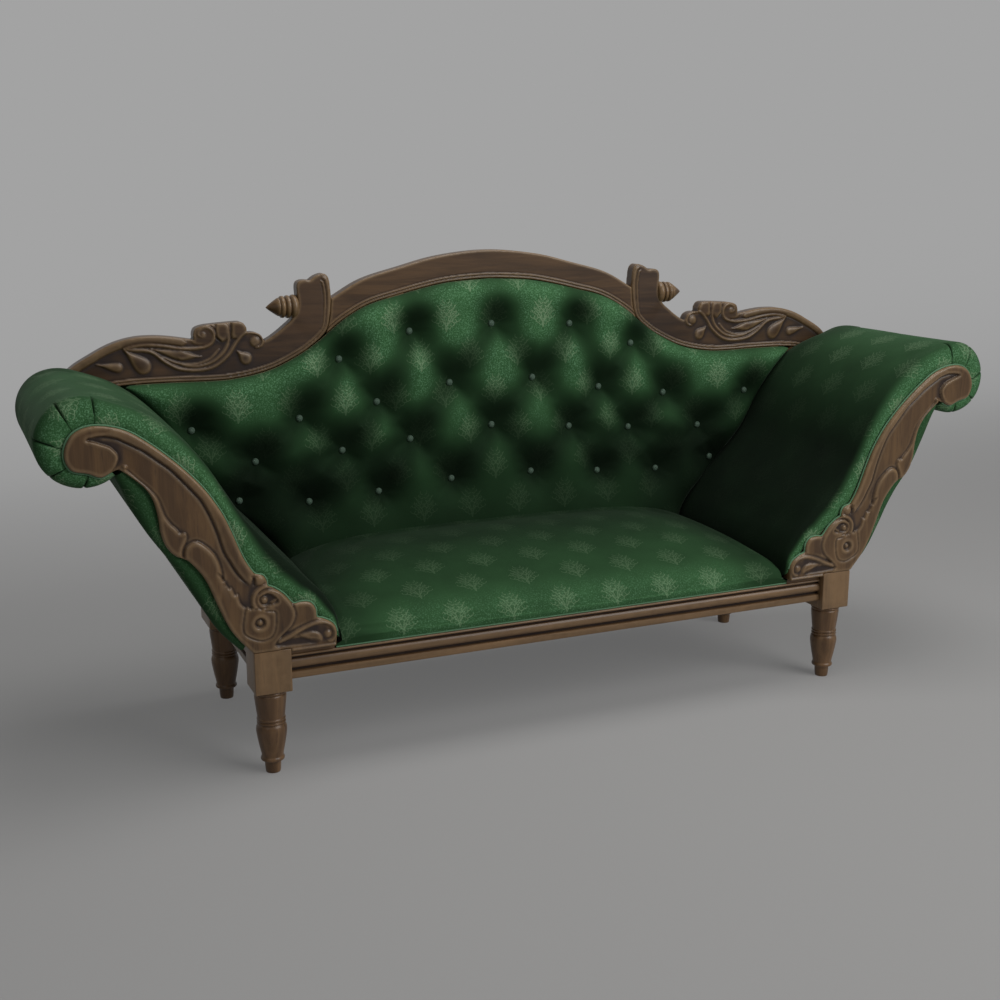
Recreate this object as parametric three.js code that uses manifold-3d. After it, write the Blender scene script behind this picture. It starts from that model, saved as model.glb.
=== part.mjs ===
// A double-ended scroll-arm settee with a tall buttoned back, as a scene of its separate pieces.
// Millimetres, +Z up. The front faces -Y. The origin is on the floor under the middle of the settee.
// The right-hand pieces are drawn and the left-hand ones are their mirror images.
import * as THREE from 'three';
import { mergeVertices } from 'three/addons/utils/BufferGeometryUtils.js';
import Module from 'manifold-3d';

const wasm = await Module();
wasm.setup();

// Fits
const fitGap = 0.3;             // left between pieces that touch
const weldDistance = 0.001;     // corners closer than this are one corner
const cutOverrun = 40;          // how far a cutting shape runs past what it cuts

// Legs and their square blocks
const legSpan = 1500;           // left leg centre to right leg centre
const legSpread = 480;          // front leg centre to rear leg centre
const legHeight = 200;          // floor to the underside of a block
const legRadius = 41;           // the widest ring of the turning
const blockWidth = 83;
const blockHeight = 98;
const rearOverhang = 29;        // how far a rear block runs back past its leg

// Seat rails
const railHeight = 68;
const railThickness = 34;
const railSetback = 13;         // rail face behind the block face
const railTopDrop = 8;          // rail top below the block top
const railReliefDepth = 9;      // depth of the moulding on a rail
const braceWidth = 40;
const braceHeight = 42;
const cornerBlockSize = 70;
const cornerBlockDrop = 10;     // top of a corner block below the rail top

// Seat filling
const webStrapWidth = 52;
const webThickness = 1.6;
const springColumns = 6;
const springRows = 2;
const springRadius = 36;
const springWaistRadius = 24;
const springWireRadius = 2.2;
const springTurns = 3;
const lashingWidth = 5;
const lashingHeight = 6;
const lashingStep = 2;          // one run of twine crosses under the other
const clothThickness = 1.2;
const seatArmClearance = 2;     // side of the seat to the foot of the arm cloth
const seatFrontStep = 20;       // seat edge behind the face of the front rail
const seatCrown = 118;          // top of the seat above the rails, in the middle
const seatEndCrown = 58;        // the same beside an arm

// Carved arm fronts
const facadeInset = 150;        // from the leg centre in to the tip of the arm front
const facadeReach = 552;
const facadeHeight = 531;
const facadeThickness = 34;
const facadeRelief = 4;         // how far the carving stands proud
const facadeStand = 9;          // how far the board stands proud of the cloth round it

// Arm upholstery and the frame inside it
const armPadThickness = 62;
const armRollRadius = 94;
const armFrontRounding = 28;
const armRearRounding = 9;
const armPleatDepth = 7;
const armBoardThickness = 25;
const armOuterThickness = 30;
const armSlatWidth = 60;
const armSlatThickness = 22;
const armBackInset = 8;         // edge of the rear arm board inside the cloth

// Back frame
const backFrameThickness = 34;
const shoulderHeight = 525;     // rail top to the lower edge of the carved shoulders
const crestRise = 300;          // from there to the top of the crest
const crestHalfWidth = 430;
const shoulderReach = 675;
const backRelief = 4;
const backBeadWidth = 13;
const stileWidth = 46;
const stileSpacing = 520;
const bottomRailHeight = 60;
const finialLength = 78;
const finialRadius = 30;
const finialShoulderHeight = 171;   // from the lower edge of a shoulder up to a finial's axis

// Back upholstery
const backPadThickness = 46;
const backPadEdge = 12;         // thickness of the back cushion at its border
const backPadRollover = 60;     // width of that rounded border
const buttonRadius = 10;
const buttonSink = 28;          // depth of the hollow round a button
const pleatSink = 15;           // depth of the valleys between buttons
const pleatReach = 58;          // how far a valley's slope runs
const coverThickness = 3;

// Piping
const pipingRadius = 4;

// Heights and places that follow from these
const blockTop = legHeight + blockHeight;
const railTop = blockTop - railTopDrop;
const railBottom = railTop - railHeight;
const frontFace = -blockWidth / 2;
const rearFace = legSpread + blockWidth / 2 + rearOverhang;
const railFace = frontFace + railSetback;
const railBack = railFace + railThickness;
const backPlane = rearFace - backFrameThickness;
const seatFront = railFace + seatFrontStep;
const hessianFront = backPlane - fitGap - clothThickness;
const backPadRear = hessianFront - fitGap;
const seatRear = backPadRear - backPadThickness - fitGap;
const facadeBack = frontFace + facadeThickness;
const armClothFront = frontFace + facadeStand;
const armClothRear = backPlane - backRelief - fitGap;
const innerSpan = legSpan - blockWidth - 2 * fitGap;    // clear length of a front or rear rail
const armTip = legSpan / 2 - facadeInset;
const shoulderLine = railTop + shoulderHeight;
const frontMost = frontFace - facadeRelief;
const rearMost = Math.max(rearFace + fitGap + coverThickness, (backPlane + rearFace) / 2 + finialRadius);

// Outline of a carved arm front: shares of its reach, outwards, and of its height above the rail
const facadeEdgeShares = [
  [0.332, 0.354], [0.371, 0.427], [0.413, 0.542], [0.447, 0.623], [0.507, 0.721], [0.591, 0.819],
  [0.696, 0.915], [0.788, 0.977], [0.895, 1.0], [0.969, 0.972], [1.0, 0.9], [0.98, 0.838],
  [0.922, 0.819], [0.877, 0.8], [0.837, 0.817], [0.812, 0.827],
];
const facadeUnderShares = [
  [0.812, 0.827], [0.764, 0.787], [0.719, 0.738], [0.694, 0.685], [0.681, 0.62], [0.676, 0.559],
  [0.659, 0.505], [0.629, 0.463], [0.6, 0.448], [0.571, 0.426], [0.52, 0.352], [0.48, 0.247],
  [0.442, 0.149], [0.406, 0.087], [0.35, 0.017],
];
const facadeWingShares = [[0.011, 0], [0.005, 0.06], [0.018, 0.096], [0.054, 0.122], [0.087, 0.136]];
const facadeTabShares = [[0.087, 0.136], [0.091, 0.173], [0.111, 0.202], [0.145, 0.209], [0.179, 0.205]];
const facadeVoluteShares = [[0.179, 0.205], [0.214, 0.249], [0.252, 0.281], [0.281, 0.296]];
const facadeBallShares = [[0.281, 0.296], [0.283, 0.316], [0.297, 0.341], [0.332, 0.354]];

// Raised carving on an arm front: the comma of the scroll, the two leaves and the rosette
const commaShares = [
  [0.915, 0.94], [0.86, 0.935], [0.825, 0.905], [0.812, 0.87], [0.83, 0.835], [0.875, 0.815],
  [0.925, 0.833], [0.968, 0.852], [0.983, 0.9], [0.965, 0.95],
];
const lobeShares = [
  [0.592, 0.455], [0.59, 0.49], [0.56, 0.515], [0.515, 0.495], [0.48, 0.445], [0.455, 0.35],
  [0.5, 0.34], [0.545, 0.42],
];
const wingLeafShares = [
  [0.245, 0.065], [0.16, 0.11], [0.085, 0.125], [0.03, 0.105], [0.02, 0.045], [0.07, 0.02],
  [0.13, 0.06],
];
const rosetteCentreShare = [0.315, 0.151];
const rosetteRadiusShare = 0.062;
const rosetteHollowRadiusShare = 0.048;
const rosetteBallRadiusShare = 0.024;
const voluteCentreShare = [0.293, 0.239];
const voluteRadiusShare = 0.052;

// Line of the arm cloth, from the seat up to the roll, then down outside: the same shares
const armLineShares = [
  [-0.018, 0.017], [-0.014, 0.075], [-0.005, 0.13], [0.038, 0.211], [0.098, 0.277], [0.156, 0.345],
  [0.216, 0.411], [0.292, 0.499], [0.357, 0.584], [0.417, 0.687], [0.475, 0.791], [0.543, 0.885],
  [0.625, 0.968], [0.725, 1.037],
];
const seatWidth = 2 * (armTip + armLineShares[0][0] * facadeReach - seatArmClearance);
const armOuterShares = [
  [0.806, 0.745], [0.792, 0.702], [0.77, 0.648], [0.714, 0.542], [0.645, 0.433], [0.576, 0.311],
  [0.524, 0.207], [0.465, 0.107], [0.39, 0.019],
];
const rollCentreShare = [0.929, 0.93];
const rollStartAngle = 110;
const rollEndAngle = -130;
const rollSteps = 20;
const rollStepsPerPleat = 3;

// Outline of a carved shoulder: shares of its reach, outwards from the crest, and of the crest's rise
const shoulderUnderShares = [
  [0, 0.64], [0.006, 0.5], [0.025, 0.353], [0.089, 0.23], [0.142, 0.16], [0.216, 0.083],
  [0.281, 0.04], [0.356, 0.01], [0.439, -0.003], [0.591, 0.003], [0.719, 0.003], [0.822, -0.013],
  [0.904, -0.06], [1.0, -0.133],
];
const shoulderTopShares = [
  [1.0, 0.033], [0.951, 0.157], [0.88, 0.253], [0.81, 0.33], [0.739, 0.373], [0.67, 0.383],
  [0.6, 0.37], [0.516, 0.337],
];
const shoulderScrollShares = [
  [0.516, 0.337], [0.519, 0.377], [0.51, 0.427], [0.481, 0.45], [0.433, 0.46], [0.375, 0.467],
  [0.341, 0.463], [0.324, 0.423], [0.321, 0.377],
];
const shoulderCurlShares = [[0.321, 0.377], [0.296, 0.377], [0.273, 0.353], [0.259, 0.3]];
const hookShares = [
  [0.259, 0.3], [0.237, 0.323], [0.206, 0.37], [0.179, 0.417], [0.151, 0.47], [0.132, 0.537],
  [0.126, 0.6], [0.129, 0.667], [0.13, 0.733], [0.124, 0.773], [0.105, 0.79], [0.079, 0.787],
];
const hookTipShares = [
  [0.079, 0.787], [0.059, 0.817], [0.04, 0.833], [0.024, 0.837], [0.009, 0.807], [0.003, 0.74],
  [0, 0.64],
];
const shoulderStemShares = [
  [0.76, 0.275], [0.674, 0.26], [0.622, 0.17], [0.57, 0.107], [0.499, 0.085], [0.444, 0.11],
  [0.396, 0.19], [0.363, 0.29], [0.336, 0.35],
];
const shoulderInnerStemShares = [
  [0.57, 0.16], [0.499, 0.14], [0.46, 0.175], [0.42, 0.25], [0.403, 0.34], [0.4, 0.42],
];
// Each drop or leaf: its centre, then its half width and half height
const shoulderDropShares = [
  [0.788, 0.143, 0.03, 0.045], [0.7, 0.157, 0.035, 0.07], [0.58, 0.29, 0.088, 0.03],
];
const shoulderCurlDiscShares = [
  [0.481, 0.39, 0.03, 0.03], [0.293, 0.32, 0.021, 0.045], [0.329, 0.167, 0.025, 0.055],
];
const stemWidthShare = 0.016;

// Outline of the crest: shares of its half width and of its rise
const crestUnderShares = [
  [0, 0.757], [0.256, 0.737], [0.421, 0.697], [0.581, 0.643], [0.774, 0.57], [0.93, 0.453], [1.07, 0.3],
];
const crestTopShares = [[1.07, 0.567], [1.0, 0.63], [0.81, 0.777], [0.57, 0.873], [0.314, 0.96], [0, 1.0]];

// Turned legs: shares of the leg's height and of its widest radius
const legTurningShares = [
  [0, 0.47], [0.145, 0.57], [0.16, 0.72], [0.185, 0.78], [0.215, 0.7], [0.36, 0.72], [0.45, 0.91],
  [0.56, 0.83], [0.6, 0.76], [0.62, 0.83], [0.645, 0.73], [0.7, 0.72], [0.83, 0.88], [0.9, 0.93],
  [0.915, 0.82], [0.93, 0.82], [0.94, 1.0], [0.98, 1.0],
];
const legNeckShare = 0.9;

// Finials: shares of the length and of the radius
const finialBuriedShare = 0.5;
const finialShares = [
  [0, 0.8], [0.13, 0.95], [0.2, 0.72], [0.27, 0.95], [0.4, 1.0], [0.47, 0.72], [0.54, 0.9],
  [0.6, 0.72],
];

// Section of a seat rail: shares of the moulding's depth, outwards, and of the rail's height
const railFaceShares = [
  [0.35, 0], [0.35, 0.2], [0.6, 0.24], [0, 0.3], [0, 0.36], [0.75, 0.42], [0.9, 0.54], [0.75, 0.66],
  [0, 0.72], [0, 0.77], [0.85, 0.83], [1.0, 0.9], [0.85, 0.96], [0.2, 1.0],
];

// Places of the buttons: shares of the crest's half width and of its rise, each row from the middle out
const buttonRowShares = [
  { heightShares: [0.367, 0.33, 0.127], placeShares: [0, 0.535, 0.977] },
  { heightShares: [-0.133, -0.26, -0.355, -0.395], placeShares: [0.279, 0.749, 1.228, 1.86] },
  { heightShares: [-0.537, -0.607, -0.66, -0.697], placeShares: [0, 0.54, 0.972, 1.5] },
  { heightShares: [-0.997, -1.05, -1.083, -1.02], placeShares: [0.272, 0.749, 1.186, 1.6] },
];

// Shape of the seat: how far back, then a share of the crown
const seatMiddleShares = [
  [0, 0.12], [0.03, 0.28], [0.1, 0.46], [0.2, 0.62], [0.4, 0.82], [0.6, 0.95], [0.8, 1], [1, 0.97],
];
const seatEndShares = [[0, 0.24], [0.05, 0.55], [0.15, 0.8], [0.4, 0.95], [0.7, 1], [1, 0.97]];
const seatShoulderPower = 6;
const seatRoundShare = 0.25;
const seatGridPower = 1.6;

// Rounded edge of the arm cloth: how far back, then how far drawn in, as shares of the rounding
const armRoundingShares = [[0, 0.75], [0.08, 0.45], [0.3, 0.16], [0.65, 0.03], [1, 0]];
const buttonFlatShare = 0.6;
const valleyReachShare = 0.62;

const cornerLimitShare = 0.3;   // keeps a sharp corner of a grown outline from running away

// Counts
const curveSteps = 2;
const lineSteps = 1;
const legSides = 14;
const discSides = 12;
const springStepsPerTurn = 6;
const springWireSides = 3;
const pipingSides = 6;
const pipingTailPoints = 3;
const seatColumns = 20;
const seatRows = 12;
const backColumns = 50;
const backRows = 19;
const buttonSides = 6;
const buttonRings = 4;

// Materials
const walnut = new THREE.MeshStandardMaterial({ color: 0x5b4433, roughness: 0.45, metalness: 0 });
const beech = new THREE.MeshStandardMaterial({ color: 0xa98a63, roughness: 0.7, metalness: 0 });
const damask = new THREE.MeshStandardMaterial({ color: 0x1f4f33, roughness: 0.85, metalness: 0 });
const trim = new THREE.MeshStandardMaterial({ color: 0x4f8a62, roughness: 0.8, metalness: 0 });
const jute = new THREE.MeshStandardMaterial({ color: 0x9c8560, roughness: 0.95, metalness: 0 });
const springSteel = new THREE.MeshStandardMaterial({ color: 0x8a8d8f, roughness: 0.4, metalness: 1 });
const cambric = new THREE.MeshStandardMaterial({ color: 0x24211f, roughness: 0.95, metalness: 0 });

// Solids: a closed geometry becomes a manifold to be cut or joined, and comes back as a geometry
function toSolid(geometry) {
  const bare = geometry.clone();
  bare.deleteAttribute('normal');
  bare.deleteAttribute('uv');
  const merged = mergeVertices(bare, weldDistance);
  const triVerts = Uint32Array.from(merged.index.array);
  const vertProperties = Float32Array.from(merged.attributes.position.array);
  return new wasm.Manifold(new wasm.Mesh({ numProp: 3, vertProperties, triVerts }));
}

function toGeometry(solid) {
  const mesh = solid.getMesh();
  const geometry = new THREE.BufferGeometry();
  geometry.setAttribute('position', new THREE.BufferAttribute(Float32Array.from(mesh.vertProperties), 3));
  geometry.setIndex(new THREE.BufferAttribute(Uint32Array.from(mesh.triVerts), 1));
  geometry.computeVertexNormals();
  return geometry;
}

function join(geometries) {
  const solids = geometries.map(toSolid);
  return toGeometry(solids.reduce((whole, solid) => whole.add(solid)));
}

function cut(geometry, cutters) {
  const solids = cutters.map(toSolid);
  return toGeometry(solids.reduce((left, solid) => left.subtract(solid), toSolid(geometry)));
}

function common(geometry, other) {
  return toGeometry(toSolid(geometry).intersect(toSolid(other)));
}

// The mirror image across the middle of the settee, with its faces still pointing out
function mirrored(geometry) {
  const copy = (geometry.index ? geometry : mergeVertices(geometry)).clone();
  copy.scale(-1, 1, 1);
  const index = copy.index.array;
  for (let i = 0; i < index.length; i += 3) {
    [index[i + 1], index[i + 2]] = [index[i + 2], index[i + 1]];
  }
  copy.computeVertexNormals();
  return copy;
}

// Outlines are lists of points in the plane of the front, as x and height
function scaledPoints(shares, reach, rise, x, z) {
  return shares.map(([across, up]) => new THREE.Vector2(x + across * reach, z + up * rise));
}

function smooth(points, stepsPerSpan) {
  return new THREE.SplineCurve(points).getPoints((points.length - 1) * stepsPerSpan);
}

// Smoothed runs set end to end, with a corner where one run meets the next
function outlineOf(runs) {
  const points = [];
  for (const run of runs) {
    const line = run.length > 2 ? smooth(run, curveSteps) : run;
    for (const point of line) {
      const last = points[points.length - 1];
      if (!last || last.distanceTo(point) > weldDistance) points.push(point);
    }
  }
  if (points[0].distanceTo(points[points.length - 1]) < weldDistance) points.pop();
  return points;
}

// A line moved sideways, to its left for a positive distance
function offsetLine(points, distance) {
  return points.map((point, i) => {
    const before = points[Math.max(i - 1, 0)];
    const after = points[Math.min(i + 1, points.length - 1)];
    const along = after.clone().sub(before).normalize();
    return new THREE.Vector2(point.x - along.y * distance, point.y + along.x * distance);
  });
}

function bandOutline(line, leftWidth, rightWidth) {
  return [...offsetLine(line, leftWidth), ...offsetLine(line, -rightWidth).reverse()];
}

// A board with its outline in the plane of the front, from one depth to another
function board(points, front, back) {
  const geometry = new THREE.ExtrudeGeometry(new THREE.Shape(points), {
    depth: back - front,
    bevelEnabled: false,
  });
  geometry.rotateX(Math.PI / 2);
  geometry.translate(0, back, 0);
  return geometry;
}

function boxBetween(low, high) {
  const geometry = new THREE.BoxGeometry(high[0] - low[0], high[1] - low[1], high[2] - low[2]);
  geometry.translate((low[0] + high[0]) / 2, (low[1] + high[1]) / 2, (low[2] + high[2]) / 2);
  return geometry;
}

// A skin over closed rings of equal length, one for each depth, closed with a cap at both ends
function loft(rings, depths) {
  const count = rings[0].length;
  const position = [];
  rings.forEach((ring, k) => {
    for (const point of ring) {
      position.push(point.x, depths[k] + (point.push || 0), point.y);
    }
  });
  const index = [];
  for (let k = 0; k + 1 < rings.length; k += 1) {
    for (let i = 0; i < count; i += 1) {
      const a = k * count + i;
      const b = k * count + ((i + 1) % count);
      index.push(a, b, a + count, b, b + count, a + count);
    }
  }
  const last = (rings.length - 1) * count;
  for (const [a, b, c] of THREE.ShapeUtils.triangulateShape(rings[0], [])) {
    index.push(a, b, c);
  }
  for (const [a, b, c] of THREE.ShapeUtils.triangulateShape(rings[rings.length - 1], [])) {
    index.push(last + c, last + b, last + a);
  }
  const geometry = new THREE.BufferGeometry();
  geometry.setAttribute('position', new THREE.Float32BufferAttribute(position, 3));
  geometry.setIndex(index);
  return facingOut(geometry);
}

// Turns a closed surface the right way round if its faces point in
function facingOut(geometry) {
  const position = geometry.attributes.position;
  const index = geometry.index.array;
  const corners = [new THREE.Vector3(), new THREE.Vector3(), new THREE.Vector3()];
  let volume = 0;
  for (let i = 0; i < index.length; i += 3) {
    corners.forEach((corner, k) => corner.fromBufferAttribute(position, index[i + k]));
    volume += corners[0].dot(corners[1].clone().cross(corners[2]));
  }
  if (volume < 0) {
    for (let i = 0; i < index.length; i += 3) {
      [index[i + 1], index[i + 2]] = [index[i + 2], index[i + 1]];
    }
  }
  geometry.computeVertexNormals();
  return geometry;
}

// A block whose top or front is a surface over a grid of places, on a flat base
function reliefBlock(columns, rows, placeOf, baseOf) {
  const position = [];
  const width = columns + 1;
  for (let j = 0; j <= rows; j += 1) {
    for (let i = 0; i <= columns; i += 1) position.push(...placeOf(i / columns, j / rows));
  }
  const index = [];
  for (let j = 0; j < rows; j += 1) {
    for (let i = 0; i < columns; i += 1) {
      const a = j * width + i;
      index.push(a, a + 1, a + width + 1, a, a + width + 1, a + width);
    }
  }
  const rim = [];
  for (let i = 0; i < columns; i += 1) rim.push([i, 0]);
  for (let j = 0; j < rows; j += 1) rim.push([columns, j]);
  for (let i = columns; i > 0; i -= 1) rim.push([i, rows]);
  for (let j = rows; j > 0; j -= 1) rim.push([0, j]);
  const first = width * (rows + 1);
  rim.forEach(([i, j], k) => {
    position.push(...baseOf(i / columns, j / rows));
    const [nextI, nextJ] = rim[(k + 1) % rim.length];
    const [a, b] = [j * width + i, nextJ * width + nextI];
    const [c, d] = [first + k, first + ((k + 1) % rim.length)];
    index.push(a, c, d, a, d, b);
  });
  const flat = rim.map(([i, j]) => new THREE.Vector2(i, j));
  for (const [a, b, c] of THREE.ShapeUtils.triangulateShape(flat, [])) {
    index.push(first + c, first + b, first + a);
  }
  const geometry = new THREE.BufferGeometry();
  geometry.setAttribute('position', new THREE.Float32BufferAttribute(position, 3));
  geometry.setIndex(index);
  return facingOut(geometry);
}

// The settee, with helpers that add a piece alone or as a left and right pair
const settee = new THREE.Group();
settee.position.y = -(frontMost + rearMost) / 2;

function add(name, geometry, material) {
  const mesh = new THREE.Mesh(geometry, material);
  mesh.name = name;
  settee.add(mesh);
}

function addPair(name, geometry, material) {
  add(name + '_right', geometry, material);
  add(name + '_left', mirrored(geometry), material);
}

// Legs: a turning under a square block, with the rear block run back to carry the back frame
function legGeometry(overhang) {
  const turning = [new THREE.Vector2(0, 0)];
  for (const [up, out] of legTurningShares) {
    turning.push(new THREE.Vector2(out * legRadius, up * legHeight));
  }
  turning.push(new THREE.Vector2(legNeckShare * legRadius, legHeight));
  turning.push(new THREE.Vector2(legNeckShare * legRadius, legHeight + blockHeight / 2));
  turning.push(new THREE.Vector2(0, legHeight + blockHeight / 2));
  const turned = new THREE.LatheGeometry(turning, legSides);
  turned.rotateX(Math.PI / 2);
  const half = blockWidth / 2;
  const block = boxBetween([-half, -half, legHeight], [half, half + overhang, blockTop]);
  return join([turned, block]);
}

for (const [place, y, overhang] of [['front', 0, 0], ['rear', legSpread, rearOverhang]]) {
  const leg = legGeometry(overhang);
  leg.translate(legSpan / 2, y, 0);
  addPair('leg_' + place, leg, walnut);
}

// Seat rails: the front and the ends carry a moulding, and the rear one is plain
function mouldedRail(length) {
  const section = [new THREE.Vector2(0, 0)];
  for (const [out, up] of railFaceShares) {
    const depth = railThickness - railReliefDepth + out * railReliefDepth;
    section.push(new THREE.Vector2(depth, up * railHeight));
  }
  section.push(new THREE.Vector2(0, railHeight));
  return new THREE.ExtrudeGeometry(new THREE.Shape(section), { depth: length, bevelEnabled: false });
}

function placed(geometry, across, up, along, corner) {
  const frame = new THREE.Matrix4().makeBasis(across, up, along);
  frame.setPosition(corner);
  geometry.applyMatrix4(frame);
  return geometry;
}

const toLeft = new THREE.Vector3(-1, 0, 0);
const toRight = new THREE.Vector3(1, 0, 0);
const toFront = new THREE.Vector3(0, -1, 0);
const upwards = new THREE.Vector3(0, 0, 1);
const railCorner = new THREE.Vector3(innerSpan / 2, railBack, railBottom);
add('front_seat_rail', placed(mouldedRail(innerSpan), toFront, upwards, toLeft, railCorner), walnut);

const endRailInside = legSpan / 2 + blockWidth / 2 - railSetback - railThickness;
const endRailFront = blockWidth / 2 + fitGap;
const endRailRear = legSpread - blockWidth / 2 - fitGap;
const endCorner = new THREE.Vector3(endRailInside, endRailRear, railBottom);
const endRail = placed(mouldedRail(endRailRear - endRailFront), toRight, upwards, toFront, endCorner);
addPair('end_seat_rail', endRail, walnut);

const rearRail = boxBetween([-innerSpan / 2, backPlane, railBottom], [innerSpan / 2, rearFace, railTop]);
add('rear_seat_rail', rearRail, walnut);

// Glued blocks in the corners of the seat frame
function cornerBlock(y, towardsMiddle) {
  const outline = [
    new THREE.Vector2(0, 0),
    new THREE.Vector2(-cornerBlockSize, 0),
    new THREE.Vector2(0, towardsMiddle * cornerBlockSize),
  ];
  if (towardsMiddle > 0) outline.reverse();
  const geometry = new THREE.ExtrudeGeometry(new THREE.Shape(outline), {
    depth: railHeight - cornerBlockDrop,
    bevelEnabled: false,
  });
  geometry.translate(innerSpan / 2, y, railBottom);
  return geometry;
}

addPair('corner_block_front', cornerBlock(railBack + fitGap, 1), beech);
addPair('corner_block_rear', cornerBlock(backPlane - fitGap, -1), beech);

// Seat filling: braces, webbing, lashed springs, hessian, the stuffed seat and a dust cover
const springPitchX = seatWidth / springColumns;
const springPitchY = (backPlane - railBack) / springRows;
const springLinesX = [];
for (let i = 0; i < springColumns; i += 1) springLinesX.push((i + 0.5 - springColumns / 2) * springPitchX);
const springLinesY = [];
for (let j = 0; j < springRows; j += 1) springLinesY.push(railBack + (j + 0.5) * springPitchY);

const brace = boxBetween(
  [springPitchX - braceWidth / 2, railBack + fitGap, railBottom],
  [springPitchX + braceWidth / 2, backPlane - fitGap, railBottom + braceHeight],
);
addPair('seat_brace', brace, beech);

function webbingGeometry() {
  const top = railBottom - fitGap;
  const straps = [];
  for (const x of springLinesX) {
    const low = [x - webStrapWidth / 2, railFace + railReliefDepth, top - webThickness];
    straps.push(boxBetween(low, [x + webStrapWidth / 2, rearFace, top]));
  }
  for (const y of springLinesY) {
    const reach = endRailInside + railThickness / 2;
    const low = [-reach, y - webStrapWidth / 2, top - webThickness];
    straps.push(boxBetween(low, [reach, y + webStrapWidth / 2, top]));
  }
  return join(straps);
}

add('seat_webbing', webbingGeometry(), jute);

// A spring is an hourglass coil: it narrows to its waist half way up
function springGeometry(x, y) {
  const bottom = railBottom + springWireRadius;
  const rise = railHeight - springWireRadius - lashingHeight / 2;
  const points = [];
  const count = springTurns * springStepsPerTurn;
  for (let k = 0; k <= count; k += 1) {
    const share = k / count;
    const angle = share * springTurns * 2 * Math.PI;
    const spread = Math.abs(2 * share - 1);
    const radius = springWaistRadius + (springRadius - springWaistRadius) * spread;
    const [across, back] = [x + radius * Math.cos(angle), y + radius * Math.sin(angle)];
    points.push(new THREE.Vector3(across, back, bottom + share * rise));
  }
  return wireAlong(points, springWireRadius, springWireSides, count);
}

// A wire or cord of a few sides along a smooth line
function wireAlong(points, radius, sides, steps) {
  const section = [];
  for (let k = 0; k < sides; k += 1) {
    const angle = (k / sides) * 2 * Math.PI;
    section.push(new THREE.Vector2(radius * Math.cos(angle), radius * Math.sin(angle)));
  }
  const extrudePath = new THREE.CatmullRomCurve3(points);
  return new THREE.ExtrudeGeometry(new THREE.Shape(section), { steps, extrudePath, bevelEnabled: false });
}

function springUnitGeometry() {
  const parts = springLinesX.flatMap((x) => springLinesY.map((y) => springGeometry(x, y)));
  const low = railTop - lashingHeight;
  const half = lashingWidth / 2;
  const reach = endRailInside - fitGap;
  for (const y of springLinesY) {
    parts.push(boxBetween([-reach, y - half, low], [reach, y + half, railTop]));
  }
  for (const x of springLinesX) {
    const near = [x - half, railBack + fitGap, low - lashingStep];
    parts.push(boxBetween(near, [x + half, backPlane - fitGap, railTop - lashingStep]));
  }
  return join(parts);
}

add('seat_springs', springUnitGeometry(), springSteel);

const seatHessian = boxBetween(
  [-seatWidth / 2, seatFront, railTop + fitGap],
  [seatWidth / 2, backPlane + railThickness / 2, railTop + fitGap + clothThickness],
);
add('seat_hessian', seatHessian, jute);

// The dust cover is tacked under the rails and notched round the leg blocks
function dustCoverGeometry() {
  const top = railBottom - 2 * fitGap - webThickness;
  const wide = endRailInside + railThickness / 2;
  const narrow = innerSpan / 2;
  const low = [railFace + railReliefDepth, top - clothThickness];
  return join([
    boxBetween([-narrow, low[0], low[1]], [narrow, rearFace, top]),
    boxBetween([-wide, endRailFront, low[1]], [wide, endRailRear, top]),
  ]);
}

add('dust_cover', dustCoverGeometry(), cambric);

function valueAt(shares, place) {
  for (let k = 1; k < shares.length; k += 1) {
    const [from, low] = shares[k - 1];
    const [to, high] = shares[k];
    if (place <= to) return THREE.MathUtils.mapLinear(place, from, to, low, high);
  }
  return shares[shares.length - 1][1];
}

function heightAlong(line, x) {
  return valueAt(line.map((point) => [point.x, point.y]), x);
}

// The seat is highest in the middle of the back and rolls down to the rail in front
function seatTop(across, back) {
  const side = Math.abs(2 * across - 1);
  const middle = valueAt(seatMiddleShares, back) * seatCrown;
  const end = valueAt(seatEndShares, back) * seatEndCrown;
  const flat = 1 - side ** seatShoulderPower;
  const round = 1 - side ** 2;
  return end + (middle - end) * THREE.MathUtils.lerp(flat, round, seatRoundShare);
}

const seatBase = railTop + 2 * fitGap + clothThickness;
const seatDepth = seatRear - seatFront;
const seatCushion = reliefBlock(
  seatColumns,
  seatRows,
  (u, v) => {
    const back = v ** seatGridPower;
    return [(u - 0.5) * seatWidth, seatFront + back * seatDepth, railTop + seatTop(u, back)];
  },
  (u, v) => [(u - 0.5) * seatWidth, seatFront + v ** seatGridPower * seatDepth, seatBase],
);
add('seat_cushion', seatCushion, damask);

const seatPiping = new THREE.CylinderGeometry(pipingRadius, pipingRadius, seatWidth, pipingSides);
seatPiping.rotateZ(Math.PI / 2);
seatPiping.translate(0, seatFront - fitGap - pipingRadius, railTop + fitGap + pipingRadius);
add('seat_piping', seatPiping, trim);

// Carved arm fronts
function facadePoints(shares) {
  return scaledPoints(shares, facadeReach, facadeHeight, armTip, railTop);
}

function facadeOutline() {
  const blockEdge = legSpan / 2 - blockWidth / 2 - fitGap;
  const under = facadePoints(facadeUnderShares);
  const last = under[under.length - 1];
  last.y = blockTop + fitGap;
  const wing = facadePoints(facadeWingShares);
  wing[0].y = railTop + fitGap;
  const base = [
    last,
    new THREE.Vector2(blockEdge, blockTop + fitGap),
    new THREE.Vector2(blockEdge, railTop + fitGap),
    wing[0],
  ];
  const runs = [
    facadePoints(facadeEdgeShares),
    under,
    base.slice(0, 2),
    base.slice(1, 3),
    base.slice(2, 4),
    wing,
    facadePoints(facadeTabShares),
    facadePoints(facadeVoluteShares),
    facadePoints(facadeBallShares),
  ];
  return outlineOf(runs);
}

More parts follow.
